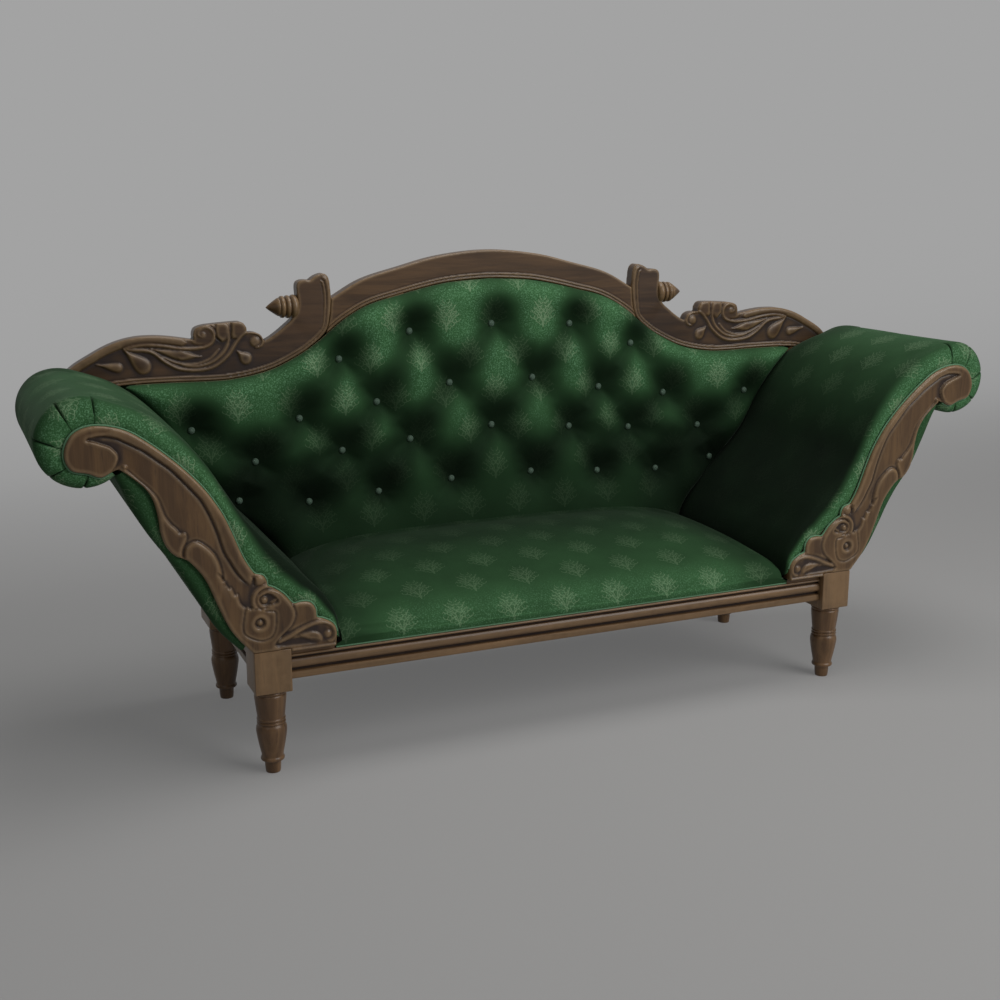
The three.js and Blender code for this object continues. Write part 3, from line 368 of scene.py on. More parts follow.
# %% [markdown]
# Damask velvet
#
# The cover is a deep green cut velvet with bouquets in a paler thread, set in staggered rows. The
# pattern has to follow the cloth round a roll or over a puff, so it reads the piece's own UV map,
# which is laid out in metres. One bouquet is drawn by folding the cell down its middle, as a
# loom's point repeat does. It is made of thin arcs and two stems, bent a little by noise, over a
# faint bloom of the same thread.

# %% Damask
repeat_width, repeat_height = 0.138, 0.1
# A curl is an arc of a ring: its centre and radius in mm, the way it opens in degrees, and the
# share of the radius, past its centre, from which it is drawn.
curls = [
    (31, -5, 7.5, -80, 0.1), (23, -11, 5.5, -95, 0.0), (15, -18, 6.5, -60, 0.1),
    (7, -26, 5, -90, 0.0), (28, 7, 5.5, -60, 0.1), (20, 2, 5.5, -100, 0.1), (12, -6, 6, -80, 0.1),
    (4, -13, 5, -60, 0.2), (23, 17, 5, -50, 0.1), (15, 12, 5.5, -90, 0.1), (7, 4, 5, -80, 0.1),
    (17, 26, 4.8, -45, 0.1), (10, 20, 5, -90, 0.1), (3, 14, 4.5, -60, 0.1), (11, 34, 4.5, -40, 0.1),
    (5, 28, 4, -90, 0.1), (5, 40, 4, -20, 0.1), (34, 3, 3.5, 60, 0.0), (3, 4, 3, 160, 0.0),
]
# A stem has its bow in metres, and its foot and top in mm.
stems = [(0.012, 34, 30), (0.024, 36, 12)]
stem_inset, stem_reach, stem_foot = 0.001, 0.045, -0.039
curl_bend, line_half, line_end = 0.009, 0.0008, 0.0006
bloom_half_width, bloom_half_height, bloom_up = 0.033, 0.039, 0.005
# Painted glints on the velvet, and painted specks of shade between them.
glint_tone, speck_shade_tone = tone("7fb489"), tone("1d4526")


def damask(name, shade_code="0a170b", light_code="467548", thread_code="93b089"):
    """Velvet with painted shade in the folds and painted light where it stands out, and painted glints.
    """
    cloth = Shader(
        name, Roughness=0.8, Specular_IOR_Level=0.12, Sheen_Weight=0.18, Sheen_Roughness=0.35,
        Sheen_Tint=tone("b0c8b0")
    )
    laid = cloth.node("ShaderNodeUVMap", {"uv_map": "cloth"}, [])
    across, up, _ = cloth.split(laid)
    row = (up / repeat_height).whole()
    stagger = (row * 0.5).fraction()
    x = abs(((across / repeat_width) + stagger).fraction() - 0.5) * repeat_width
    z = ((up / repeat_height).fraction() - 0.5) * repeat_height
    sway = cloth.noise(cloth.gather(x, z), 85, 1)
    x = abs(x + (sway - 0.5) * curl_bend)
    z = z + (sway - 0.5) * curl_bend
    spot = cloth.gather(x, z)

    def fine_line(distance):
        return 1 - distance.rise(line_half * 0.5, line_half * 1.7)

    drawing = 0.0
    for curl_x, curl_z, radius, facing, open_from in curls:
        centre = (curl_x * MM, curl_z * MM, 0.0)
        away = cloth.node("ShaderNodeVectorMath", {"operation": "DISTANCE"}, [spot, centre], "Value")
        ring = fine_line(abs(away - radius * MM))
        ahead = (math.cos(math.radians(facing)), math.sin(math.radians(facing)), 0.0)
        drawn = cloth.node("ShaderNodeVectorMath", {"operation": "DOT_PRODUCT"}, [spot, ahead], "Value")
        edge = centre[0] * ahead[0] + centre[1] * ahead[1] + open_from * radius * MM
        drawing = (ring * drawn.rise(edge - line_end, edge + line_end)).larger(drawing)
    for bow, foot, top in stems:
        from_stem = abs(x - stem_inset - bow * ((z + foot * MM) / stem_reach) ** 2)
        stem = fine_line(from_stem) * (1 - z.rise(top * MM, (top + 2) * MM))
        drawing = drawing.larger(stem * z.rise(stem_foot, stem_foot + 2 * MM))
    bloom = (1 - (x / bloom_half_width) ** 2 - ((z - bloom_up) / bloom_half_height) ** 2).rise(0, 0.8)
    here = cloth.place()
    # Painted light and shade: a vertex attribute, 0 where shade is painted and 1 where light is
    # painted.
    light_painted = cloth.attribute("light_painted")
    speckle = cloth.noise(here, 300, 2, 0.8)
    nap = cloth.noise(here, 9, 3)
    # The ground mixes a painted shade tone and a painted light tone by that attribute, varied by the
    # nap.
    light_and_nap = (light_painted + (nap - 0.5) * 0.6 * (light_painted + 0.12)).larger(0).smaller(1)
    ground = cloth.mix(light_and_nap, tone(shade_code), tone(light_code))
    # Painted glints and painted specks of shade, only where light is painted.
    glint = speckle.rise(0.5, 0.66) * light_painted.rise(0.35, 0.85)
    ground = cloth.mix(glint * 0.6, ground, glint_tone)
    speck_shade = (1 - speckle.rise(0.3, 0.5)) * light_painted.rise(0.35, 0.9)
    ground = cloth.mix(speck_shade * 0.5, ground, speck_shade_tone)
    figure = drawing * 0.9 + bloom * 0.2
    # The pattern's thread is dimmed where shade is painted and bright where light is painted.
    thread = figure * light_painted * (0.36 + light_painted * 0.6) * (0.2 + speckle * 1.3).smaller(1)
    cloth.feed("Base Color", cloth.mix(thread, ground, tone(thread_code)))
    cloth.bump(speckle * 0.7 + drawing * 0.4, 0.0006, 0.6)
    return cloth.material


damask_velvet = damask("damask_velvet")
print("the damask repeats every", repeat_width, "by", repeat_height, "m")


# %% Plain cloths and wire
def plain_cloth(name, light, dark, scale, roughness=0.85, sheen=0.2):
    """A plain weave: crossed threads, with a little unevenness in the yarn."""
    cloth = Shader(name, Roughness=roughness, Sheen_Weight=sheen)
    here = cloth.place()
    x, y, z = cloth.split(here)
    per_metre = scale * 2 * math.pi
    warp = ((x + y) * per_metre).maths("SINE")
    weft = ((z + y) * per_metre).maths("SINE")
    yarn = cloth.noise(here, scale / 3, 3)
    weave = warp * weft * 0.5 + 0.5
    cloth.feed("Base Color", cloth.mix((weave * 0.6 + yarn * 0.5).smaller(1), tone(dark), tone(light)))
    cloth.bump(weave + yarn, 0.0005, 0.6)
    return cloth.material


cord_green = plain_cloth("cord_green", "79a880", "3a6a49", 700)
button_cloth = plain_cloth("button_cloth", "627c69", "384f3f", 900, 0.45, 0.1)
jute = plain_cloth("jute", "b39a6c", "7a6440", 380)
cambric = plain_cloth("cambric", "2a2725", "151312", 900)
wire = Shader("spring_wire", Metallic=1.0, Roughness=0.4)
tarnish = wire.noise(wire.place(), 40, 3)
wire.feed("Base Color", wire.mix(tarnish.rise(0.35, 0.7), tone("8e9092"), tone("6b6158")))
wire.feed("Roughness", 0.3 + tarnish * 0.3)
steel_wire = wire.material
print("plain finishes:", [m.name for m in (cord_green, button_cloth, jute, cambric, steel_wire)])

# %% [markdown]
# Helpers for modelling by hand
#
# A board starts as a filled circle with one vertex per point of its outline. A skin over rings is
# a cylinder whose side is subdivided once per ring. A turning is a profile spun round its axis.
# Each start is then shaped in edit mode and finished with modifiers, and its place stays in its
# mesh, so that the object's own origin is the frame's.

# %% Pieces and their points
def start(name):
    """The piece that an operator has just added, under its own name."""
    piece = bpy.context.object
    piece.name = name
    piece.data.name = name
    return piece


def points_of(piece):
    flat = np.empty(len(piece.data.vertices) * 3)
    piece.data.vertices.foreach_get("co", flat)
    return flat.reshape(-1, 3)


def move_points(piece, points):
    piece.data.vertices.foreach_set("co", np.asarray(points, float).ravel())
    piece.data.update()


def open_piece(piece, mode="FACE"):
    select_only(piece)
    bpy.ops.object.mode_set(mode="EDIT")
    bpy.ops.mesh.select_mode(type=mode)
    return bmesh.from_edit_mesh(piece.data)


def close_piece(outwards=True):
    if outwards:
        bpy.ops.mesh.select_all(action="SELECT")
        bpy.ops.mesh.normals_make_consistent(inside=False)
    bpy.ops.object.mode_set(mode="OBJECT")


def modify(piece, kind, **settings):
    """Adds a modifier and applies it."""
    select_only(piece)
    modifier = piece.modifiers.new(kind.title(), kind)
    for key, value in settings.items():
        setattr(modifier, key, value)
    bpy.ops.object.modifier_apply(modifier=modifier.name)
    return piece


def smooth_shading(piece, degrees=40):
    select_only(piece)
    bpy.ops.object.shade_smooth_by_angle(angle=math.radians(degrees))


print("pieces can be opened, moved and finished")


# %% Boards, skins and turnings
def board(name, outline, front, back):
    deselect()
    bpy.ops.mesh.primitive_circle_add(vertices=len(outline), fill_type="NGON")
    piece = start(name)
    across, up = outline[:, 0], outline[:, 1]
    move_points(piece, np.column_stack([across, np.full(len(outline), front), up]))
    open_piece(piece)
    bpy.ops.mesh.select_all(action="SELECT")
    bpy.ops.mesh.extrude_region_move(TRANSFORM_OT_translate={"value": (0, back - front, 0)})
    close_piece()
    return piece


def loft(name, rings):
    """A skin over rings of points, closed at both ends; also each vertex's ring and place in it."""
    rings = np.asarray(rings)
    stations, count = rings.shape[:2]
    deselect()
    bpy.ops.mesh.primitive_cylinder_add(vertices=count, radius=1, depth=1, end_fill_type="NGON")
    piece = start(name)
    shell = open_piece(piece, "EDGE")
    bpy.ops.mesh.select_all(action="DESELECT")
    for edge in shell.edges:
        edge.select_set(abs(edge.verts[0].co.z - edge.verts[1].co.z) > 0.5)
    bmesh.update_edit_mesh(piece.data)
    if stations > 2:
        bpy.ops.mesh.subdivide(number_cuts=stations - 2)
    bpy.ops.object.mode_set(mode="OBJECT")
    co = points_of(piece)
    turn = np.rint(np.arctan2(co[:, 0], co[:, 1]) / (2 * np.pi / count)).astype(int) % count
    level = np.rint((co[:, 2] + 0.5) * (stations - 1)).astype(int)
    move_points(piece, rings[level, turn])
    open_piece(piece)
    close_piece()
    return piece, level, turn


def turned(name, profile, centre, axis="Z", sides=64):
    """A turning: (radius, distance along the axis) pairs spun round the axis."""
    deselect()
    bpy.ops.mesh.primitive_circle_add(vertices=len(profile), fill_type="NOTHING")
    piece = start(name)
    radius, along = np.array(profile).T
    nothing = np.zeros(len(profile))
    columns = [radius, nothing, along] if axis == "Z" else [along, nothing, radius]
    move_points(piece, np.column_stack(columns))
    shell = open_piece(piece, "EDGE")
    shell.verts.ensure_lookup_table()
    ends = {0, len(profile) - 1}
    for edge in shell.edges:
        edge.select_set({vertex.index for vertex in edge.verts} == ends)
    bmesh.update_edit_mesh(piece.data)
    bpy.ops.mesh.delete(type="EDGE")
    bpy.ops.mesh.select_all(action="SELECT")
    direction = (0, 0, 1) if axis == "Z" else (1, 0, 0)
    bpy.ops.mesh.spin(steps=sides, angle=2 * math.pi, center=(0, 0, 0), axis=direction)
    bpy.ops.mesh.select_all(action="SELECT")
    bpy.ops.mesh.remove_doubles(threshold=0.00001)
    bpy.ops.mesh.normals_make_consistent(inside=False)
    bpy.ops.transform.translate(value=centre)
    close_piece(False)
    return piece


print("boards, skins and turnings can be started")


# %% Copies and finishes
def copy_piece(piece, name):
    select_only(piece)
    bpy.ops.object.duplicate()
    return start(name)


def mirror_piece(piece, name):
    """The left-hand twin of a right-hand piece."""
    twin = copy_piece(piece, name)
    move_points(twin, points_of(twin) * (-1, 1, 1))
    open_piece(twin)
    bpy.ops.mesh.select_all(action="SELECT")
    bpy.ops.mesh.flip_normals()
    close_piece(False)
    return twin


def join_pieces(pieces, name):
    deselect()
    for piece in pieces:
        piece.select_set(True)
    bpy.context.view_layer.objects.active = pieces[0]
    bpy.ops.object.join()
    return start(name)


def dress(piece, material, slot, *nodes):
    """Gives a piece its finish, hangs it on the root, and hides the CAD nodes that it stands for."""
    piece.data.materials.clear()
    piece.data.materials.append(material)
    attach(piece, "root")
    if nodes:
        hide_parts(*nodes)
    return piece


print("pieces can be copied, mirrored, joined and dressed")


# %% Drawn lines
def smooth_line(points, steps=8, closed=False):
    """A smooth curve that passes through points of a drawing."""
    points = np.asarray(points, float)
    if closed:
        ring = np.vstack([points[-1:], points, points[:2]])
    else:
        ring = np.vstack([2 * points[:1] - points[1:2], points, 2 * points[-1:] - points[-2:-1]])
    t = np.arange(steps)[:, None] / steps
    runs = []
    for a, b, c, d in zip(ring[:-3], ring[1:-2], ring[2:-1], ring[3:]):
        bend = (2 * a - 5 * b + 4 * c - d) * t ** 2 + (3 * b - a - 3 * c + d) * t ** 3
        runs.append(0.5 * (2 * b + (c - a) * t + bend))
    if not closed:
        runs.append(points[-1:])
    return np.vstack(runs)


def even_line(points, step):
    """The same line with its points a step apart."""
    gaps = np.hypot(*np.diff(points, axis=0).T)
    along = np.concatenate([[0], np.cumsum(gaps)])
    wanted = np.linspace(0, along[-1], max(2, int(round(along[-1] / step)) + 1))
    return np.column_stack([np.interp(wanted, along, points[:, k]) for k in (0, 1)])


def outline_of(runs, step):
    """Curved runs set end to end with a corner between them, as one closed outline."""
    parts = []
    for run in runs:
        line = smooth_line(run) if len(run) > 2 else np.asarray(run, float)
        parts.append(even_line(line * MM, step)[:-1])
    return np.vstack(parts)


def shifted(line, distance):
    """A line moved sideways, to its left for a positive distance."""
    along = np.gradient(line, axis=0)
    along /= np.maximum(np.hypot(*along.T), 1e-9)[:, None]
    return line + np.column_stack([-along[:, 1], along[:, 0]]) * distance


print("drawn points become smooth, even or shifted lines")


# %% Distances
def near(x, z, line):
    """Each point's distance to a line, and how far along the line it lies, from 0 to 1."""
    best = np.full(x.shape, 1e6)
    along = np.zeros(x.shape)
    lengths = np.hypot(*np.diff(line, axis=0).T)
    done = 0
    for (ax, az), (bx, bz), length in zip(line[:-1], line[1:], lengths):
        t = ((x - ax) * (bx - ax) + (z - az) * (bz - az)) / max(length, 1e-9) ** 2
        t = np.clip(t, 0, 1)
        distance = np.hypot(x - ax - t * (bx - ax), z - az - t * (bz - az))
        closer = distance < best
        best[closer] = distance[closer]
        along[closer] = (done + t[closer] * length) / lengths.sum()
        done += length
    return best, along


def within(x, z, outline):
    """Which points lie inside an outline."""
    odd = np.zeros(x.shape, bool)
    for (ax, az), (bx, bz) in zip(outline, np.roll(outline, -1, axis=0)):
        if az == bz:
            continue
        crossing = ax + (z - az) * (bx - ax) / (bz - az)
        odd ^= ((az > z) != (bz > z)) & (x < crossing)
    return odd


def eased(value, low, high):
    t = np.clip((value - low) / (high - low), 0, 1)
    return t * t * (3 - 2 * t)


print("points can be measured from a line and tested against an outline")

# %% [markdown]
# Legs
#
# Each leg is turned on a lathe below a square block that is left for the seat rails. The turning
# has a small foot, a ring, a vase, two beads, a flaring neck and a collar under the block. The rear
# blocks run back to carry the back frame, so their depth is read from the frame.

# %% Turned legs
leg_profile = [
    (0, 0), (15.2, 0), (16.6, 1.5), (17.8, 13), (18.8, 27), (22, 28.5), (25.8, 30.4), (26.8, 33.6),
    (26, 37), (24.4, 39.4), (24.6, 43), (25.8, 50), (28.4, 62), (31, 76), (33.2, 90), (34.4, 100),
    (34.2, 107), (32.8, 113), (30.8, 116.6), (29.8, 118), (31.6, 119), (32.4, 121), (31.8, 123),
    (29.8, 124.4), (29.8, 126), (31.6, 127), (32.4, 129), (31.8, 131), (30.4, 132.6), (31, 137),
    (32.2, 147), (33.6, 160), (35, 173), (35.8, 182), (35.6, 186), (34.4, 188), (34.2, 189.6),
    (36, 190.8), (36.8, 193.2), (36, 195.6), (35.2, 199), (0, 199.5),
]
smooth_profile = [(0, 0)]
smooth_profile += [tuple(p) for p in smooth_line(leg_profile[1:-1], 3) * MM]
smooth_profile += [(0, leg_profile[-1][1] * MM)]
block_bevel = 2.2 * MM
for node in ("leg_front_right", "leg_front_left", "leg_rear_right", "leg_rear_left"):
    low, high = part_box(node)
    side = high[0] - low[0]
    centre_x = (low[0] + high[0]) / 2
    turning = turned(node + "_turning", smooth_profile, (centre_x, low[1] + side / 2, 0))
    smooth_shading(turning, 60)
    dress(turning, walnut_legs, "show_wood", node)
    deselect()
    block_low = leg_profile[-2][1] * MM
    bpy.ops.mesh.primitive_cube_add(size=1)
    block = start(node + "_block")
    corner = points_of(block) + 0.5
    size = (side, high[1] - low[1], high[2] - block_low)
    move_points(block, corner * size + (low[0], low[1], block_low))
    modify(block, "BEVEL", width=block_bevel, segments=3)
    open_piece(block)
    bpy.ops.mesh.select_all(action="SELECT")
    bpy.ops.mesh.subdivide(number_cuts=3)
    close_piece()
    wear = block.data.attributes.new("worn", "FLOAT", "POINT")
    off = np.abs(points_of(block) - (np.array(low) + np.array(high)) / 2)
    near_edge = np.sort(np.array(size) / 2 - off, axis=1)[:, 1]
    wear.data.foreach_set("value", np.clip(1 - near_edge / (2 * block_bevel), 0, 1) * 0.8)
    smooth_shading(block, 30)
    dress(block, walnut_legs, "show_wood")
print("each leg is", leg_profile[-1][1], "mm of turning under a block")

# %% [markdown]
# Seat rails
#
# The front and end rails carry a run of mouldings: a small bead, a broad half round and a flat
# fillet below, with a deep quirk between each. The front rail has a rebate along its top, where the
# seat's cover comes down. A moulding is one section drawn along its length, so it is a skin between
# rings with the section's shape.

# %% Moulded rails
def half_round(z_top, z_low, base, proud, steps=9):
    """Points over a bead from its top to its foot."""
    angles = np.linspace(0, math.pi, steps)[1:-1]
    middle_z, radius = (z_top + z_low) / 2, (z_top - z_low) / 2
    return [(base + proud * math.sin(a) ** 0.7, middle_z + radius * math.cos(a)) for a in angles]


rail_low, rail_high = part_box("front_seat_rail")
rail_depth = (rail_high[1] - rail_low[1]) / MM
rail_height = (rail_high[2] - rail_low[2]) / MM
quirk = rail_depth - 8.5
rebate = 10


def rail_section(top_depth):
    """The moulding's outline in metres; top_depth is how far out its top stands above the rebate."""
    points = [(0, 0), (0, rail_height), (top_depth, rail_height), (top_depth, rail_height - rebate)]
    points += half_round(rail_height - rebate, rail_height - 17, quirk + 2, 6)
    points += [(quirk - 2, rail_height - 17.8), (quirk - 2, rail_height - 22)]
    points += half_round(rail_height - 22.5, rail_height - 43.5, quirk + 1, 7.2)
    points += [(quirk - 3, rail_height - 44.5), (quirk - 3, rail_height - 50)]
    points += [(quirk + 5.6, rail_height - 50.8), (quirk + 7.4, rail_height - 52)]
    points += [(quirk + 8.1, rail_height - 54.5), (quirk + 8.1, 3), (quirk + 7.2, 1), (quirk + 5.4, 0)]
    return np.array(points) * MM


def glaze_by_depth(piece, depth_of, deep, high):
    """Dark glaze where the surface lies deep, and worn wood where it stands highest."""
    co = points_of(piece)
    depth = depth_of(co)
    glaze = piece.data.attributes.new("glaze", "FLOAT", "POINT")
    glaze.data.foreach_set("value", 1 - eased(depth, deep, deep + (high - deep) * 0.55))
    worn = piece.data.attributes.new("worn", "FLOAT", "POINT")
    worn.data.foreach_set("value", eased(depth, high - (high - deep) * 0.15, high) * 0.6)


def moulding(name, across, stations, top_depths):
    """The rail section at each station along a rail; across turns it to face out."""
    rings = [
        [across(s, depth, z) for depth, z in rail_section(top)]
        for s, top in zip(stations, top_depths)
    ]
    piece, _, _ = loft(name, rings)
    smooth_shading(piece, 35)
    return piece


print("the rail section has", len(rail_section(quirk)), "points")

# %% Front and end rails
front_back = rail_high[1]
cover_end = 605 * MM
stations = np.linspace(rail_low[0], rail_high[0], 40)
stations = np.sort([*stations, *(end + side for end in (-cover_end, cover_end) for side in (0, MM))])
top_depths = np.where(np.abs(stations - MM / 2) < cover_end, quirk - 1, quirk + 4)
front_rail = moulding(
    "front_rail", lambda s, depth, z: (s, front_back - depth, rail_low[2] + z), stations, top_depths
)
deepest, proudest = (quirk - 3) * MM, (quirk + 8) * MM
glaze_by_depth(front_rail, lambda co: front_back - co[:, 1], deepest, proudest)
dress(front_rail, walnut_rail, "show_wood", "front_seat_rail")
end_low, end_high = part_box("end_seat_rail_right")
stations = np.linspace(end_low[1], end_high[1], 14)
end_rail = moulding(
    "end_rail_right", lambda s, depth, z: (end_low[0] + depth, s, end_low[2] + z), stations,
    np.full(len(stations), quirk + 4)
)
glaze_by_depth(end_rail, lambda co: co[:, 0] - end_low[0], deepest, proudest)
end_rail_left = mirror_piece(end_rail, "end_rail_left")
dress(end_rail, walnut_deep, "show_wood", "end_seat_rail_right")
dress(end_rail_left, walnut_deep, "show_wood", "end_seat_rail_left")
print("the front rail is", round((rail_high[0] - rail_low[0]) / MM), "mm long")

# %% [markdown]
# Carving
#
# The arm fronts, the shoulders and the crest are boards with carving in low relief. The edges of
# the figures are drawn as lines over the board, and each figure is a small rule for height: a
# groove, a round ridge, a domed leaf or a sunk ground. The board is remeshed into fine even cells
# first, so that the rules have enough vertices to move. This keeps every cut real geometry.

# %% Relief
class Relief:
    """Heights in mm over the face of a carved board."""

    def __init__(self, across, up):
        self.across, self.up = across, up
        self.height = np.zeros(across.shape)

    def away(self, line):
        return near(self.across, self.up, line)

    def inside(self, outline):
        return within(self.across, self.up, outline)

    def ground(self, level):
        self.height[:] = level

    def level(self, outline, height, soft):
        """Raises or sinks what lies inside an outline, with a rounded edge of the given width."""
        distance, _ = self.away(np.vstack([outline, outline[:1]]))
        depth = np.clip(distance / soft, 0, 1)
        share = np.sqrt(1 - (1 - depth) ** 2) * self.inside(outline)
        self.height += (height - self.height) * share

    def groove(self, line, width, depth, fade=0.06):
        """A rounded cut that narrows to nothing at both ends."""
        distance, along = self.away(line)
        half = width / 2 * np.sqrt(np.clip(np.minimum(along, 1 - along) / max(fade, 1e-6), 0.02, 1))
        share = np.clip(1 - (distance / half) ** 2, 0, 1) ** 2
        self.height -= depth * share * np.clip(half / (width / 2), 0, 1)

    def ridge(self, line, width, top, fade=0.06, taper=1.0):
        """A round stem up to a level; taper is its width at the far end, from 0 to 1."""
        distance, along = self.away(line)
        half = width / 2 * (1 + (taper - 1) * along)
        half *= np.sqrt(np.clip(np.minimum(along, 1 - along) / max(fade, 1e-6), 0.02, 1))
        share = np.sqrt(np.clip(1 - (distance / half) ** 2, 0, 1))
        self.height = np.maximum(self.height, self.height + (top - self.height) * share)

    def ball(self, centre, radius, top):
        distance = np.hypot(self.across - centre[0], self.up - centre[1])
        share = np.sqrt(np.clip(1 - (distance / radius) ** 2, 0, 1))
        self.height = np.maximum(self.height, self.height + (top - self.height) * share)

    def drop(self, body, radius, tail, top):
        """A leaf drop: a round body that draws out into a pointed tail."""
        line = trace([body, ((body[0] + tail[0]) / 2, (body[1] + tail[1]) / 2), tail])
        distance, along = self.away(line)
        half = radius * (1 - 0.92 * eased(along, 0.02, 1.0))
        share = np.sqrt(np.clip(1 - (distance / half) ** 2, 0, 1))
        self.height = np.maximum(self.height, self.height + (top - self.height) * share)

    def round_over(self, outline, radius):
        distance, _ = self.away(np.vstack([outline, outline[:1]]))
        depth = np.clip(1 - distance / radius, 0, 1)
        self.height -= radius * (1 - np.sqrt(1 - depth ** 2)) * 0.8


print("a relief has grounds, grooves, ridges, balls and drops")


# %% Carving a board
def trace(points, step=3.0):
    """A smooth line through points of a drawing, in mm."""
    return even_line(smooth_line(points), step)


def blurred(values, pairs, count, rounds):
    """Values on a mesh, each replaced again and again by the mean of its neighbours."""
    links = np.bincount(pairs.ravel(), minlength=count)
    for _ in range(rounds):
        total = [
            np.bincount(pairs[:, 0], values[pairs[:, 1], k], count)
            + np.bincount(pairs[:, 1], values[pairs[:, 0], k], count)
            for k in range(values.shape[1])
        ]
        values = np.array(total).T / np.maximum(links, 1)[:, None]
    return values


def age_wood(piece, rounds, deep=1.2, high=0.5):
    """Stores glaze where the surface is hollow and worn where it is a crest, both from 0 to 1."""
    co = points_of(piece)
    pairs = np.empty(len(piece.data.edges) * 2, int)
    piece.data.edges.foreach_get("vertices", pairs)
    pairs = pairs.reshape(-1, 2)
    normals = np.empty(len(co) * 3)
    piece.data.vertices.foreach_get("normal", normals)
    wide = blurred(co, pairs, len(co), rounds)
    close = blurred(co, pairs, len(co), max(2, rounds // 8))
    normals = normals.reshape(-1, 3)
    hollow = ((wide - co) * normals).sum(1) / MM
    crest = ((co - close) * normals).sum(1) / MM
    for name, values in (("glaze", eased(hollow, 0.15, deep)), ("worn", eased(crest, 0.06, high))):
        stored = piece.data.attributes.get(name) or piece.data.attributes.new(name, "FLOAT", "POINT")
        stored.data.foreach_set("value", blurred(values[:, None], pairs, len(co), 1)[:, 0])


def carve(name, outline, front, back, relief, cell=2.2 * MM, reach=9.0):
    """A board remeshed into even cells, with a relief pushed into its front."""
    piece = board(name, outline, front, back)
    modify(piece, "REMESH", mode="VOXEL", voxel_size=cell)
    co = points_of(piece)
    depth = (co[:, 1] - front) / MM
    share = np.clip(1 - depth / reach, 0, 1)
    touched = share > 0
    face = Relief(co[touched, 0] / MM, co[touched, 2] / MM)
    relief(face)
    co[touched, 1] -= face.height * share[touched] * MM
    move_points(piece, co)
    age_wood(piece, 40)
    select_only(piece)
    bpy.ops.object.shade_smooth()
    return piece


print("carving rules are ready")

# %% [markdown]
# The arm fronts
#
# Each arm front is one carved board. A rolled rim follows the cloth and ends in a comma at the top,
# a long sunk panel runs down the middle, a leaf and a lobe overlap along the lower edge, and the
# foot has a scroll with an eye, a shield with a rosette and a wing over the rail.

# %% Arm front outlines
facade_edge = [
    (783, 478), (805, 517), (828, 578), (847, 621), (880, 673), (926, 725), (984, 776),
    (1035, 809), (1094, 821), (1135, 806), (1152, 768), (1141, 735), (1109, 725), (1084, 715),
    (1062, 724), (1048, 729),
]
facade_under = [
    (1048, 729), (1022, 708), (997, 682), (983, 654), (976, 619), (973, 587), (964, 558),
    (947, 536), (931, 528), (915, 516), (887, 477), (865, 421), (844, 369), (824, 336), (793, 299),
]
base_step = [(793, 298.6), (708.5, 298.6), (708.5, 290.6), (606, 290.6)]
wing_end = [(606, 290.6), (603, 322), (610, 341), (630, 355), (648, 362)]
scroll_tab = [(648, 362), (650, 382), (661, 397), (680, 401), (699, 399)]
scroll_top = [(699, 399), (718, 422), (739, 439), (755, 447)]
scroll_ball = [(755, 447), (756, 458), (764, 471), (783, 478)]
foot_runs = [base_step[0:2], base_step[1:3], base_step[2:4], wing_end]
facade_runs = [facade_edge, facade_under, *foot_runs, scroll_tab, scroll_top, scroll_ball]
facade_outline = outline_of(facade_runs, 3 * MM)
rim_cut = [
    (1104, 797), (1081, 799), (1052, 793), (1033, 783), (1004, 766), (985, 752), (966, 736),
    (947, 720), (928, 699), (909, 676), (889, 651), (876, 626), (865, 599), (856, 572),
    (849, 545), (843, 527), (833, 508), (822, 487), (808, 467), (793, 452),
]
comma_edge = [
    (1106, 794), (1091, 789), (1076, 783), (1063, 777), (1055, 769), (1050, 762), (1048, 753),
    (1051, 743), (1056, 733), (1062, 724),
]
leaf_cut = [
    (1037, 731), (1018, 711), (993, 686), (976, 664), (968, 642), (961, 622), (951, 606),
    (940, 594), (936, 585),
]
leaf_tip = [(936, 585), (923, 583), (920, 573), (923, 562), (930, 548), (933, 531)]
lobe_cut = [
    (929, 528), (928, 545), (921, 557), (908, 564), (896, 562), (884, 553), (872, 541),
    (862, 527), (855, 508), (851, 488), (849, 470),
]
field_tips = [(849, 470), (838, 452), (834, 455), (826, 436), (820, 438), (816, 418), (806, 405)]
eye_tail = [(757, 400), (768, 398), (778, 404), (782, 416), (779, 428)]
scroll_cut = [
    (779, 428), (768, 438), (750, 441), (728, 431), (711, 412), (699, 393), (695, 374),
    (703, 352), (717, 338), (733, 324),
]
shield = [
    (804, 402), (790, 399), (776, 398), (766, 393), (756, 391), (741, 387), (740, 368),
    (743, 346), (752, 331), (772, 326), (794, 334), (809, 346), (812, 360), (809, 382),
]
wing_band = [
    (738, 316), (710, 327), (688, 338), (664, 347), (646, 350), (630, 348), (616, 340),
    (609, 327), (609, 314), (616, 305), (627, 304),
]
wing_leaf = [
    (690, 326), (672, 331), (656, 331), (645, 326), (638, 316), (640, 306), (652, 312),
    (668, 316),
]
wing_recess = [(744, 311), (711, 320), (690, 322), (668, 314), (646, 303), (680, 303), (720, 304)]
print("the arm front's outline has", len(facade_outline), "points")

# %% Arm front relief
ground_level = -2.4
raised_level = 1.2


